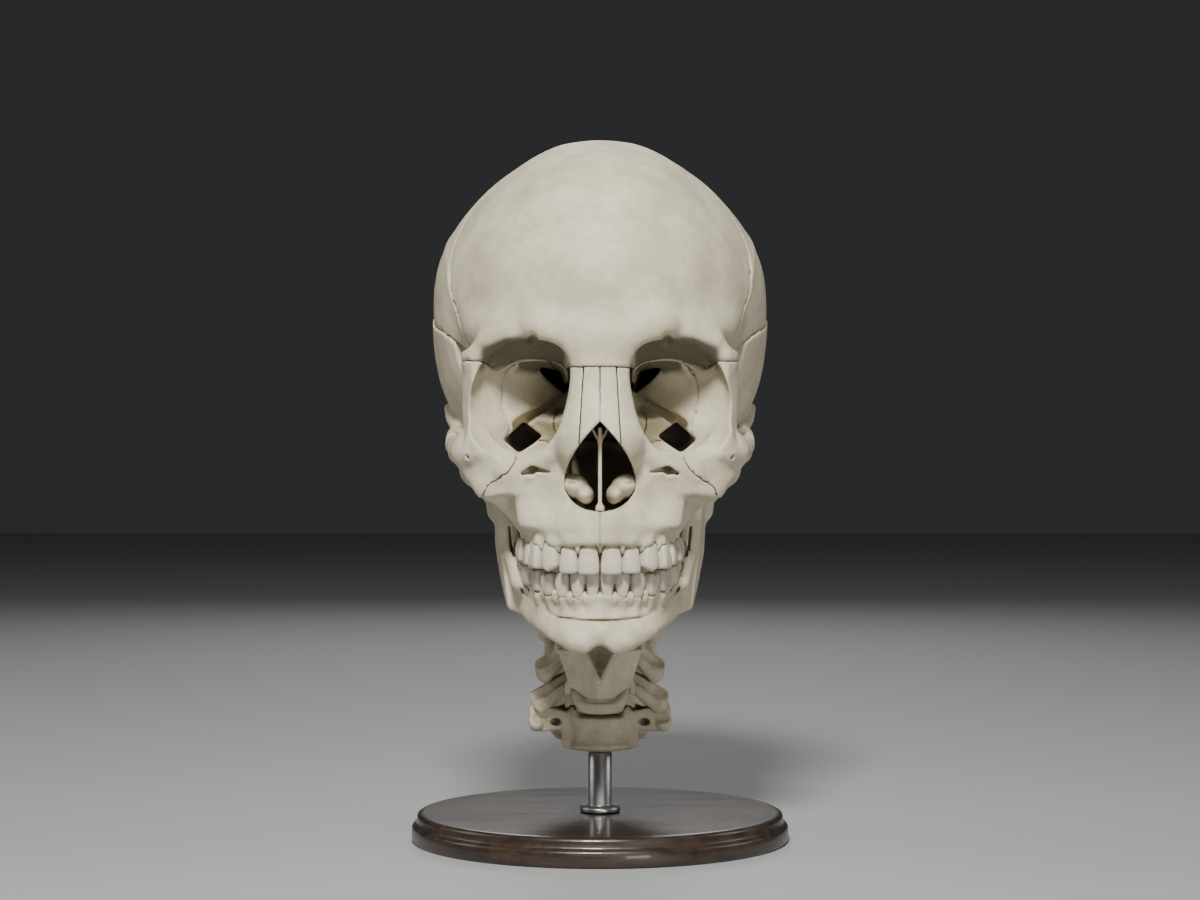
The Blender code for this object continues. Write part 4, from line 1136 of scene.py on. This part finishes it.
@dataclass
class Dentition:
    """A row of seven teeth on each side, from the middle to the back.

    Each tooth has its place across and along, width, depth, height, turn and lean.
    """

    jaw: Jaw
    rows: Sequence[Sequence[float]]
    edge_z: float = -53.7
    slope: float = 0.14
    finish: EnamelFinish = EnamelFinish("enamel")

    def gum(self, place: int) -> float:
        """Height of the bone's edge at a tooth."""
        return self.edge(place) + self.jaw.value * self.rows[place][4]

    def edge(self, place: int) -> float:
        """Height of a tooth's biting edge.

        Args:
            place: The tooth's place, counted from the middle.

        Returns:
            The height, in millimetres.
        """
        edge = self.edge_z + self.slope * (self.rows[place][1] - self.rows[0][1])
        if self.jaw is Jaw.LOWER:
            edge += 1.2 if place < 3 else -0.8
        return edge

    def tooth(self, f: Form, place: int) -> Number:
        """One tooth with its root: crown widest near the edge, neck, and root.

        Args:
            f: The form that it is drawn in.
            place: The tooth's place, counted from the middle.

        Returns:
            The field.
        """
        x, y, width, depth, height, turn, lean = self.rows[place]
        up = self.jaw.value
        edge, gum = self.edge(place), self.gum(place)
        across, along, rise = f.split(f.local((x, y, edge), (-up * lean, 0, turn)))
        rise = rise * up
        front = place < 3
        taper = width * (0.17 if self.jaw is Jaw.LOWER else 0.10)
        half = width * 0.54 - f.ramp(rise, height * 0.30, height, 0.0, taper)
        if front:
            thick = f.ramp(rise, 0.0, height * 0.8, depth * 0.18, depth * 0.45)
            curve = across * across * (0.62 / width) + (rise - height * 0.45) * (rise - height * 0.45) * 0.022
            face = abs(along + depth * 0.44 - thick - curve) - thick
            tip = abs(across) * (0.50 if place == 2 else 0.06) - rise
            crown = f.most(abs(across) - half, face, tip, rise - height - 0.2, blend=1.9)
        else:
            thick = depth * 0.48 - f.ramp(rise, height * 0.35, height, 0.0, depth * 0.07)
            crown = f.most(abs(across) - half, abs(along) - thick, -rise, rise - height - 0.2, blend=2.6)
            point = f.join(across, along, rise)
            crown = f.cut(crown, f.ellipsoid((0, 0, -0.5), (width * 0.16, depth * 0.9, 1.7), point=point), blend=1.0)
            if place > 4:
                groove = f.ellipsoid((0, 0, -0.5), (width * 0.9, depth * 0.13, 1.6), point=point)
                crown = f.cut(crown, groove, blend=1.0)
                dent = f.ellipsoid((0, -depth * 0.55, height * 0.3), (0.5, 1.2, height * 0.42), point=point)
                crown = f.cut(crown, dent, blend=1.2)
        root = f.bar((x * 0.99, y + 1.2, gum - up * 1.5), (x * 0.93, y + 3.0, gum + up * 7), width * 0.36,
                     width * 0.2)
        return f.union(crown, root, blend=1.6)

    def septa(self, f: Form) -> list[Number]:
        """The points of bone that stand between neighbouring teeth.

        Args:
            f: The form that it is drawn in.

        Returns:
            One field for each point of bone.
        """
        up = self.jaw.value
        found = [f.ellipsoid((0.0, self.rows[0][1] + 1.5, self.gum(0) + up * 0.4), (1.2, 2.6, 3.0))]
        for place, (near, far) in enumerate(zip(self.rows, self.rows[1:])):
            centre = ((near[0] + far[0]) / 2, (near[1] + far[1]) / 2 + 0.8,
                      (self.gum(place) + self.gum(place + 1)) / 2)
            found.append(f.ellipsoid(centre, (1.3, 2.8, 3.0), turn=(0, 0, (near[5] + far[5]) / 2)))
        return found

    def row(self) -> Form:
        """The whole row."""
        f = Form(self.jaw.name.lower() + " teeth")
        return f.done(f.union(*[self.tooth(f, place) for place in range(len(self.rows))]))

    def build(self, row: Form, nodes: dict[Side, str], others: Sequence[Form], low: Triple, high: Triple) -> None:
        """Build the teeth.

        Args:
            row: The row's form.
            nodes: The node that each side's teeth belong to; one entry for the middle makes both sides at once.
            others: Forms that the teeth stay clear of.
            low: Lowest corner of the left half's box.
            high: Its highest corner.
        """
        for side, node in nodes.items():
            form = clear_of("teeth", row, others, BITE_GAP, side)
            box = mirrored(low, high, side) if side is not Side.MIDDLE else ((-high[0], low[1], low[2]), high)
            carve(node, form, box, 0.4, self.finish, "_teeth", 400)


@dataclass
class LowerJaw:
    """The lower jaw: a horseshoe with two upright branches, each with a knob and a hook."""

    half_width: float = 42.8
    chin_z: float = -83.6
    finish: BoneFinish = BoneFinish("dry face bone", colour=(0.48, 0.42, 0.29), pale=(0.71, 0.645, 0.47), patch=14.0)
    roots: Sequence[Triple] = ((2.9, -88.4, 10), (8.8, -87.0, 10), (14.4, -84.0, 13), (20.0, -78.8, 9),
                               (24.6, -72.6, 8))

    def form(self, teeth: Dentition) -> Form:
        """The jaw without its teeth.

        Args:
            teeth: The row of teeth in this jaw.

        Returns:
            The form.
        """
        f = Form("lower jaw")
        front = f.ramp(f.y, -82, -60, 1.0, 0.0)
        dip = 4.2 * f.ramp(f.z, -77, -67) * f.ramp(f.z, -67, -59, 1.0, 0.15)
        tuck = 0.8 + 3.2 * f.ramp(f.z, -38, -68)
        skin = f.column(-10, self.half_width, 80.5) + dip * front + tuck * (1.0 - front)
        thick = f.ramp(f.y, -85, -20, 13.0, 8.5)
        border = (f.y + 15.0) * 0.451 - 57.0 + (f.y + 15.0) * (f.y + 50.0) * 0.00256 + f.x * f.x * front * 0.007
        foot = (border - 2.0 * front - f.z) * 0.93
        body = f.most(skin, -(skin + thick), foot, f.plane((0, -14, 0), (0, 1, 0)), blend=6.0)
        body = f.most(body, f.plane((0, -87, -61.6), (0, -0.25, 1)), blend=2.2)
        chin = f.union(f.ellipsoid((0, -87.0, -76.0), (5, 4.8, 4.6)),
                       f.chain([(0, -85.4, -63, 1.6), (0, -86.6, -74, 2.4), (13, -83.0, -76, 2.0)]),
                       f.ellipsoid((7.6, -85.4, self.chin_z + 4.2), (6.2, 5.6, 4.2)), blend=4.0)
        lean = 40.8 + (f.z + 33.0) * 0.06 + (f.y + 27.0) * 0.10 - tuck * 0.6
        slab = abs(f.x - lean) - f.ramp(f.z, -55, -15, 3.8, 2.4)
        outline = f.most(f.plane((0, -46.5, -57), (0, -45, 4)), f.plane((0, -16.0, -57), (0, 45, -6)),
                         f.plane((0, 0, -3.5), (0, 0, 1)), foot, blend=9.0)
        ramus = f.most(slab, outline, -f.ellipsoid((44, -25.5, -4), (30, 8.6, 15)), blend=3.0)
        line = f.chain([(37.5, -42, -26, 3.0), (35.5, -46, -46, 4.0), (32.5, -56, -58, 4.0)])
        knob = f.ellipsoid((48.0, -12.5, -6.4), (9.0, 4.4, 4.2))
        neck = f.bar((43.5, -15.5, -30), (46.5, -12.8, -9), 4.2, 3.6)
        whole = f.cut(f.union(body, chin, blend=6.0), f.ellipsoid((0, -88, -88.2), (4.6, 12, 6.6)), blend=4.0)
        whole = f.union(whole, ramus, line, neck, knob, blend=5.0)
        swellings = [f.bar((x, y + 2.2, -63.0), (x * 0.98, y + 4.2, -63.0 - height * 0.6), 1.8, 0.8)
                     for x, y, height in self.roots]
        whole = f.union(whole, *swellings, blend=4.0)
        whole = f.union(whole, *teeth.septa(f), blend=1.2)
        groove = f.chain([(37.2, -46, -36, 0.5), (35.8, -48.5, -50, 0.5), (31.4, -57.5, -62, 0.5),
                          (23.6, -75.5, -68.7, 0.5), (17.3, -81, -70.8, 0.5), (7.8, -87.5, -71.5, 0.5),
                          (0, -89.5, -71.5, 0.5)], flat=(1, 6, 1))
        whole = f.cut(whole, groove, blend=0.5)
        foramen = f.bar((24.5, -90, -67.5), (21.5, -76, -69.0), 1.5)
        inner = f.bar((30, -24, -28), (38.5, -29, -32), 2.2)
        whole = f.cut(f.cut(whole, foramen, blend=1.6), inner, blend=1.5)
        rough = f.ramp(f.union(f.ellipsoid((46, -24, -52), (10, 12, 12))), -4, 4, 0.55, 0.0)
        return f.done(whole + f.noise(f.true_point, 4.5, 2.0) * rough + f.noise(f.true_point, 9.0, 3.0) * 0.15)

    def build(self, others: Sequence[Form], teeth: Dentition, lower_row: Form) -> None:
        """Build the jaw clear of the head and round its own teeth."""
        form = clear_of("jaw", clear_of("jaw bone", self.form(teeth), others, JOINT_GAP), [lower_row], SOCKET_GAP)
        carve("mandible", form, ((-62, -100, -92), (62, -2, 2)), 0.62, self.finish)


@dataclass(frozen=True)
class Level:
    """Sizes of one neck bone: the body's place, half width, depth and height, the wing's tip and the length back."""

    y: float
    z: float
    width: float
    depth: float
    height: float
    tip: float
    tip_z: float
    back: float


@dataclass
class Neck:
    """The first six neck bones."""

    levels: dict[int, Level] = field(default_factory=lambda: {
        3: Level(-9.0, -78.0, 9.5, 15.0, 13.0, 26.8, -80.0, 34.0),
        4: Level(-9.2, -93.5, 9.8, 15.0, 13.0, 27.6, -97.0, 34.0),
        5: Level(-9.5, -109.0, 10.6, 15.0, 13.0, 29.1, -110.0, 36.0),
        6: Level(-10.0, -124.2, 12.3, 16.0, 14.0, 30.6, -118.0, 42.0)})
    finish: BoneFinish = BoneFinish("dry neck bone", colour=(0.47, 0.415, 0.285), pale=(0.69, 0.63, 0.46), patch=9.0,
                                    pits=0.14)

    def wing(self, f: Form, number: int) -> Number:
        """The side wing of a neck bone, a plate that rises to the joint pillar and ends in two knobs.

        Args:
            f: The form that it is drawn in.
            number: The bone's number, counted from the skull.

        Returns:
            The field.
        """
        size = self.levels[number]
        tip, tip_z = size.tip, size.tip_z
        if number == 6:
            sides = (f.plane((25, 0, -124.1), (8.1, 0, -5.4)), f.plane((30.4, 0, -116), (4.2, 0, 1.1)),
                     f.plane((29.3, 0, -111.8), (-3.7, 0, 16.3)), f.plane((25, 0, -124.1), (-1.2, 0, -8.9)))
        else:
            sides = (f.plane((tip - 0.8, 0, tip_z + 3), (8, 0, tip - 15.8)), f.plane((tip, 0, tip_z), (6, 0, -1.5)),
                     f.plane((tip - 4.2, 0, tip_z - 6.5), (6, 0, -4.5)),
                     f.plane((tip - 4.2, 0, tip_z - 6.5), (-5, 0, 18.2 - tip)))
        return f.most(*sides, f.plane((11.5, 0, 0), (-1, 0, 0)), f.plane((0, size.y - 2.5, size.z), (0, -1, 0.1)),
                      f.plane((0, size.y + 9.5, 0), (0, 1, 0)), blend=1.8)

    def vertebra(self, number: int) -> Form:
        """A bone from the third to the sixth: body, side wings with their hole, joint pillars and forked spine.

        Args:
            number: The bone's number, counted from the skull.

        Returns:
            The form.
        """
        size = self.levels[number]
        y, z, width, tip, tip_z = size.y, size.z, size.width, size.tip, size.tip_z
        depth, height, back = size.depth, size.height, size.back
        f = Form("vertebra %d" % number)
        waist = f.ramp(abs(f.z - z), 0.0, height * 0.5, 0.9, 0.0)
        body = f.most(f.column(y, width, depth / 2) + waist, f.plane((0, y, z + height / 2), (0, -0.08, 1)),
                      f.plane((0, y, z - height / 2), (0, -0.08, -1)), blend=2.2)
        hook = f.ellipsoid((width * 0.88, y + 1.5, z + height * 0.44), (2.5, 5.5, 5.0), turn=(0, 12, 0))
        lip = f.ellipsoid((0, y - 2, z - height * 0.40), (width * 0.97, depth * 0.54, 2.2))
        trough = f.bar((width + 1, y + 3.6, z + 10), (tip + 3, y + 4.0, tip_z + 3.0), 2.3)
        middle, tall = (z + 6.5, 5.2) if number == 6 else (z + 0.5, 8.9)
        pillar = f.block((18.2, y + 15, middle), (5.8, 5.0, tall), 3.0, turn=(-28, 0, 0))
        pedicle = f.bar((width * 0.9, y + 6, z + 2), (18, y + 12, z + 1), 3.8)
        lamina = f.bar((18, y + 19, z), (3.0, y + 31, z - 2), 3.0, flat=(1, 0.8, 1.7))
        spine = f.bar((0, y + 30, z - 2), (0, y + back, z - 6), 3.0, 2.6, flat=(0.9, 1, 1.4))
        fork = f.bar((0, y + back - 3, z - 5), (3.6, y + back + 4, z - 8), 2.6, 1.8)
        knobs = f.union(f.ellipsoid((tip - 3.6, y - 2.2, tip_z - 1.6), (3.2, 3.6, 4.2)),
                        f.ellipsoid((tip - 2.6, y + 8, tip_z - 2), (2.8, 2.6, 3.2)))
        side = f.cut(f.union(self.wing(f, number), knobs, blend=1.5), trough, blend=1.6)
        if number < 6:
            ridge = f.chain([(tip - 4.6, y - 3.6, tip_z - 3.4, 2.6), (15.5, y - 4.6, tip_z + 4.6, 2.0),
                             (width * 0.8, y - 3.5, z + 3.5, 2.2)])
            hollow = f.ellipsoid((tip - 5.0, y - 4.8, tip_z + 4.8), (6.5, 5.6, 2.8), turn=(0, 40, 0))
            under = f.ellipsoid((tip - 8.5, y - 4.4, tip_z - 5.6), (5.0, 4.0, 3.2), turn=(0, 25, 0))
            side = f.union(f.cut(f.cut(side, hollow, blend=1.5), under, blend=1.5), ridge, blend=1.6)
        else:
            hollow = f.ellipsoid((tip - 6.5, y - 4.6, tip_z + 1.0), (5.5, 3.4, 2.6), turn=(0, 12, 0))
            side = f.cut(side, hollow, blend=2.0)
        root = f.block((width + 0.6, y + 2.5, z - 0.5), (3.6, 4.0, height * 0.5 - 0.6), 2.0)
        whole = f.union(body, hook, lip, pedicle, root, blend=2.6)
        whole = f.union(whole, side, pillar, lamina, spine, fork, blend=2.2)
        hole = f.bar((18.0, y + 3.8, z - 30), (18.0, y + 3.8, z + 30), 2.4)
        whole = f.cut(whole, hole, blend=1.0)
        if number == 6:
            slot = f.bar((17.2, y - 6, -119.4), (20.8, y + 5, -120.0), 1.5, flat=(1.6, 1, 1))
            whole = f.cut(whole, slot, blend=0.8)
        rough = f.noise(f.true_point, 3.0, 3.0) * 0.22
        return f.done(whole + rough)

    def atlas(self) -> Form:
        """The first neck bone, a ring with cups for the skull.

        Returns:
            The form.
        """
        f = Form("atlas")
        mass = f.block((19, 4, -37), (7.5, 10, 6.6), 5, turn=(0, 8, -18))
        arch = f.chain([(17, -3, -37.5, 4.5), (9, -10, -38, 4.2), (0, -12.5, -38.5, 5)], flat=(1, 0.75, 1.2))
        rear = f.chain([(20, 12, -38, 4.4), (17, 24, -39, 4.0), (9, 33, -39.5, 3.8), (0, 36, -40, 4.8)])
        wing = f.chain([(22, 4, -38, 5), (36, 6, -39, 4.2)], flat=(1, 1.2, 1))
        whole = f.union(mass, arch, rear, wing, blend=4.0)
        whole = f.cut(whole, f.bar((28.5, 5, -60), (28.5, 5, -10), 2.8), blend=1.0)
        cup = f.ellipsoid((14.6, 7.6, -23.2), (6.6, 13.2, 7.4), turn=(0, 0, -25))
        return f.done(f.cut(whole, cup, blend=0.8) + f.noise(f.true_point, 3.5, 3.0) * 0.22)

    def axis(self) -> Form:
        """The second neck bone, with the peg that the first turns on.

        Returns:
            The form.
        """
        f = Form("axis")
        body = f.most(f.column(-6.5, 9.6, 8.0), f.plane((0, 0, -50), (0, 0, 1)),
                      f.plane((0, 0, -69), (0, -0.08, -1)), blend=3.0)
        dens = f.bar((0, -4.0, -54), (0, -3.0, -34.5), 5.0, 3.8)
        face = f.ellipsoid((15.5, 1.5, -54.0), (9, 9, 4.0), turn=(0, 22, 0))
        wing = f.chain([(16, 3, -58, 4), (25.5, 6, -62, 3.2)])
        pillar = f.block((20, 9.5, -64.5), (5.0, 5.0, 8.4), 3.2, turn=(-26, 0, 0))
        lamina = f.bar((18, 13, -60), (3, 28, -62), 3.4, flat=(1, 0.9, 2.0))
        spine = f.bar((0, 27, -61.5), (0, 37, -64), 3.6, flat=(0.9, 1, 1.6))
        fork = f.bar((0, 33, -65), (5.2, 42, -68), 3.4, 2.6)
        whole = f.union(body, dens, face, wing, pillar, lamina, spine, fork, blend=3.0)
        whole = f.cut(whole, f.bar((20.5, 3.5, -90), (20.5, 3.5, -40), 2.6), blend=1.0)
        return f.done(whole + f.noise(f.true_point, 3.5, 3.0) * 0.22)

    def build(self, whole: Form, shield: Form, ring: Form) -> dict[int, Form]:
        """Build the bones.

        Args:
            whole: The head, which the first bone stays clear of.
            shield: The shield cartilage.
            ring: The ring cartilage.

        Returns:
            The bones' forms by number.
        """
        bones = {number: self.vertebra(number) for number in self.levels}
        bones[2] = self.axis()
        bones[1] = clear_of("c1", self.atlas(), [bones[2], whole], JOINT_GAP)
        boxes = {1: ((-45, -24, -52), (45, 46, -24)), 2: ((-34, -22, -78), (34, 52, -27))}
        for number, size in self.levels.items():
            boxes[number] = ((-40, -26, size.z - 24), (40, 46, size.z + 20))
        for number in sorted(bones):
            form = bones[number]
            if number > 1:
                nearby = [bones[number + 1]] if number < 6 else []
                form = clear_of("c%d" % number, form, nearby + [shield, ring], JOINT_GAP)
            carve("vertebra_c%d" % number, form, boxes[number], 0.6, self.finish)
        return bones


@dataclass
class Larynx:
    """The shield and ring cartilages in front of the neck."""

    finish: BoneFinish = BoneFinish("dry cartilage", colour=(0.46, 0.405, 0.28), pale=(0.66, 0.60, 0.44),
                                    stain=(0.36, 0.31, 0.23), roughness=0.5, patch=8.0, pits=0.06)

    def shield(self) -> Form:
        """Two plates that meet in a keel, notched at the top.

        Returns:
            The form.
        """
        f = Form("thyroid cartilage")
        plate = f.block((9.2, -36.0, -97.5), (12.5, 1.1, 10.5), 0.9, turn=(10, 0, 49))
        plate = f.most(plate, f.plane((0, 0, -87.2), (0, 0, 1)), f.plane((18, 0, -87), (16.6, 0, -5.6)),
                       f.plane((0, -45, -106.7), (0, -0.15, -1)), blend=1.0)
        keel = f.bar((0, -45.0, -98.5), (0, -43.5, -106), 1.4, 1.2)
        notch = f.most(f.plane((6.0, 0, -87.4), (11, 0, -5.8)), f.plane((0, -38, 0), (0, 1, 0)))
        rim = f.chain([(6.4, -41.6, -88.0, 1.4), (1.3, -46.2, -99.4, 1.8)])
        horn = f.chain([(17.2, -27.0, -88, 1.8), (17.4, -24, -80.5, 1.5)])
        foot = f.chain([(13.0, -32.0, -102, 1.6), (13.4, -30.5, -105.0, 1.3)])
        whole = f.cut(f.union(plate, keel, blend=1.5), notch, blend=0.8)
        whole = f.union(whole, rim, blend=1.0)
        return f.done(f.union(whole, horn, foot, blend=1.5) + f.noise(f.true_point, 4.0, 2.0) * 0.12)

    def ring(self) -> Form:
        """The ring under the shield, higher at the back, like a signet ring.

        Returns:
            The form.
        """
        f = Form("cricoid cartilage")
        skin = f.column(-33, 11.4, 11.0)
        top = f.ramp(f.y, -44, -24, -109.0, -100.6)
        foot = f.ramp(f.y, -44, -31, -113.4, -107.4) + f.ramp(f.y, -30, -22, 0.0, -4.0)
        whole = f.most(skin, -(skin + 3.2), f.z - top, foot - f.z, blend=1.2)
        return f.done(whole + f.noise(f.true_point, 4.0, 2.0) * 0.12)

    def build(self) -> tuple[Form, Form]:
        """Build both cartilages and give back their forms.

        Returns:
            The shield's form and the ring's form.
        """
        ring = self.ring()
        shield = clear_of("shield", self.shield(), [ring], JOINT_GAP)
        carve("cricoid_cartilage", ring, ((-16, -48, -119), (16, -18, -96)), 0.45, self.finish)
        carve("thyroid_cartilage", shield, ((-22, -50, -110), (22, -18, -76)), 0.45, self.finish)
        return shield, ring


@dataclass
class Stand:
    """Round wooden base, steel rod and two pins that hold the cartilages."""

    base_radius: float = 80.0
    base_height: float = 12.0
    rod_radius: float = 5.0
    rod_length: float = 26.0
    neck_y: float = -10.0
    wood: WoodFinish = WoodFinish("dark wood")
    steel: SteelFinish = SteelFinish("brushed steel")

    def spun(self, name: str, profile: Sequence[tuple[float, float]], centre_y: float, steps: int) -> bpy.types.Mesh:
        """A turned shape.

        Args:
            name: The mesh's name.
            profile: Radius and height of each point, from the axis round to the axis, in millimetres.
            centre_y: Where the axis stands.
            steps: How many steps go round.

        Returns:
            The mesh.
        """
        bm = bmesh.new()
        points = [bm.verts.new((radius * MM, 0.0, height * MM)) for radius, height in profile]
        for first, second in zip(points, points[1:]):
            bm.edges.new((first, second))
        bmesh.ops.spin(bm, geom=bm.verts[:] + bm.edges[:], cent=(0, 0, 0), axis=(0, 0, 1), angle=math.tau,
                       steps=steps, use_merge=True)
        bmesh.ops.remove_doubles(bm, verts=bm.verts, dist=1e-6)
        bmesh.ops.recalc_face_normals(bm, faces=bm.faces[:])
        bmesh.ops.translate(bm, vec=(0.0, centre_y * MM, 0.0), verts=bm.verts)
        for face in bm.faces:
            face.smooth = True
        mesh = bpy.data.meshes.new(name)
        bm.to_mesh(mesh)
        bm.free()
        return mesh

    def build(self, neck: dict[int, Form], shield: Form, ring: Form) -> None:
        """Build the base, rod and pins.

        Args:
            neck: Forms of the neck bones.
            shield: The shield cartilage's form.
            ring: The ring cartilage's form.
        """
        r, h = self.base_radius, self.base_height
        profile = [(0, 0), (r - 1.2, 0), (r - 0.4, 0.3), (r, 1.2), (r, 6.0), (r - 0.5, 6.9), (r - 1.6, 7.4),
                   (r - 2.2, 8.2), (r - 2.2, h - 1.8), (r - 2.6, h - 0.7), (r - 3.8, h - 0.1), (r - 5.5, h),
                   (r * 0.5, h), (0, h)]
        dress("fine_stand_base", self.spun("base", profile, 0.0, 128), self.wood, "stand_base")
        foot, top = h + 0.35, h + self.rod_length - 0.35
        rod = self.rod_radius
        profile = [(0, foot), (rod + 3.2, foot), (rod + 3.5, foot + 0.4), (rod + 3.5, foot + 1.6),
                   (rod + 3.0, foot + 2.2), (rod + 0.2, foot + 2.6), (rod, foot + 3.0), (rod, top - 0.6),
                   (rod - 0.6, top), (0, top)]
        dress("fine_stand_rod", self.spun("rod", profile, self.neck_y + SHIFT_Y, 48), self.steel, "stand_rod")
        for node, height, end, held, holder in (("stand_pin_shield", -99.3, -48, shield, neck[4]),
                                                ("stand_pin_ring", -108.0, -26, ring, neck[5])):
            f = Form(node)
            pin = f.done(f.bar((0, -12, height), (0, end, height), 1.4))
            pin = clear_of(node, pin, [held, holder], PIN_GAP)
            carve(node, pin, ((-3, -50, height - 3), (3, -10, height + 3)), 0.4, self.steel)


@dataclass
class Studio:
    """Pale floor, soft lights and the camera at the photograph's place."""

    lens: float = 76.5
    eye: Triple = (0.0, -1.086, 0.1655)
    floor: FloorFinish = FloorFinish("floor")

    def light(self, name: str, place: Triple, target: Triple, size: float, power: float) -> None:
        """A square soft light.

        Args:
            name: Its name.
            place: Where it hangs.
            target: What it looks at.
            size: Its width.
            power: Its watts.
        """
        data = bpy.data.lights.new(name, "AREA")
        data.shape = "SQUARE"
        data.size = size
        data.energy = power
        lamp = bpy.data.objects.new(name, data)
        lamp.location = place
        lamp.rotation_euler = (Vector(target) - Vector(place)).to_track_quat("-Z", "Y").to_euler()
        bpy.context.scene.collection.objects.link(lamp)

    def build(self) -> None:
        """Build the floor, lights, world and camera."""
        bm = bmesh.new()
        bmesh.ops.create_grid(bm, x_segments=2, y_segments=2, size=4.0)
        mesh = bpy.data.meshes.new("floor")
        bm.to_mesh(mesh)
        bm.free()
        mesh.materials.append(self.floor.material())
        floor = bpy.data.objects.new("floor", mesh)
        bpy.context.scene.collection.objects.link(floor)
        centre = (0.0, -0.02, 0.19)
        self.light("key", (-0.10, -0.95, 1.00), centre, 0.22, 27.0)
        self.light("front", (0.55, -1.35, 0.10), centre, 0.35, 4.2)
        self.light("left", (-1.2, 0.1, 0.7), centre, 0.5, 2.6)
        self.light("right", (1.2, 0.1, 0.7), centre, 0.5, 2.6)
        self.light("back", (0.0, 1.3, 0.9), centre, 0.6, 5.0)
        world = bpy.data.worlds.new("studio")
        world.use_nodes = True
        world.node_tree.nodes["Background"].inputs[0].default_value = (0.80, 0.82, 0.85, 1.0)
        world.node_tree.nodes["Background"].inputs[1].default_value = 0.035
        bpy.context.scene.world = world
        data = bpy.data.cameras.new("camera")
        data.lens = self.lens
        data.sensor_width = 36.0
        data.clip_start = 0.01
        camera = bpy.data.objects.new("camera", data)
        camera.location = self.eye
        camera.rotation_euler = (math.pi / 2, 0.0, 0.0)
        bpy.context.scene.collection.objects.link(camera)
        bpy.context.scene.camera = camera


UPPER_ROW = (
    (4.5, -92.0, 7.9, 7.0, 11.0, 3, 8), (12.4, -89.6, 7.0, 6.3, 10.5, 20, 7), (19.4, -84.8, 7.8, 8.0, 11.0, 42, 5),
    (24.0, -78.2, 6.6, 8.8, 9.5, 64, 3), (26.6, -71.2, 6.6, 9.0, 9.0, 75, 2), (28.4, -62.6, 9.8, 11.0, 8.6, 83, 2),
    (29.4, -52.8, 9.2, 11.0, 8.0, 87, 2))
LOWER_ROW = (
    (2.9, -86.6, 5.2, 6.0, 10.4, 3, 4), (8.7, -85.4, 5.7, 6.3, 10.4, 14, 4), (14.4, -81.6, 6.4, 7.6, 11.0, 36, 3),
    (19.4, -77.0, 6.6, 7.6, 9.0, 56, 1), (23.2, -71.0, 6.8, 8.0, 8.6, 68, -2), (26.4, -62.2, 10.4, 10.3, 8.0, 77, -4),
    (28.8, -52.2, 10.0, 10.2, 7.6, 79, -6))


def main() -> None:
    """Build the sub-assemblies in order."""
    logging.basicConfig(level=logging.INFO, format="%(message)s")
    upper, lower = Dentition(Jaw.UPPER, UPPER_ROW), Dentition(Jaw.LOWER, LOWER_ROW)
    upper_row, lower_row = upper.row(), lower.row()
    whole = Head().build(upper, upper_row)
    upper.build(upper_row, {Side.LEFT: "maxilla_left", Side.RIGHT: "maxilla_right"}, [], (-1, -100, -60),
                (38, -44, -34))
    LowerJaw().build([whole, upper_row], lower, lower_row)
    lower.build(lower_row, {Side.MIDDLE: "mandible"}, [upper_row], (-1, -96, -76), (38, -42, -38))
    shield, ring = Larynx().build()
    bones = Neck().build(whole, shield, ring)
    Stand().build(bones, shield, ring)
    Studio().build()


if __name__ == "__main__":
    main()
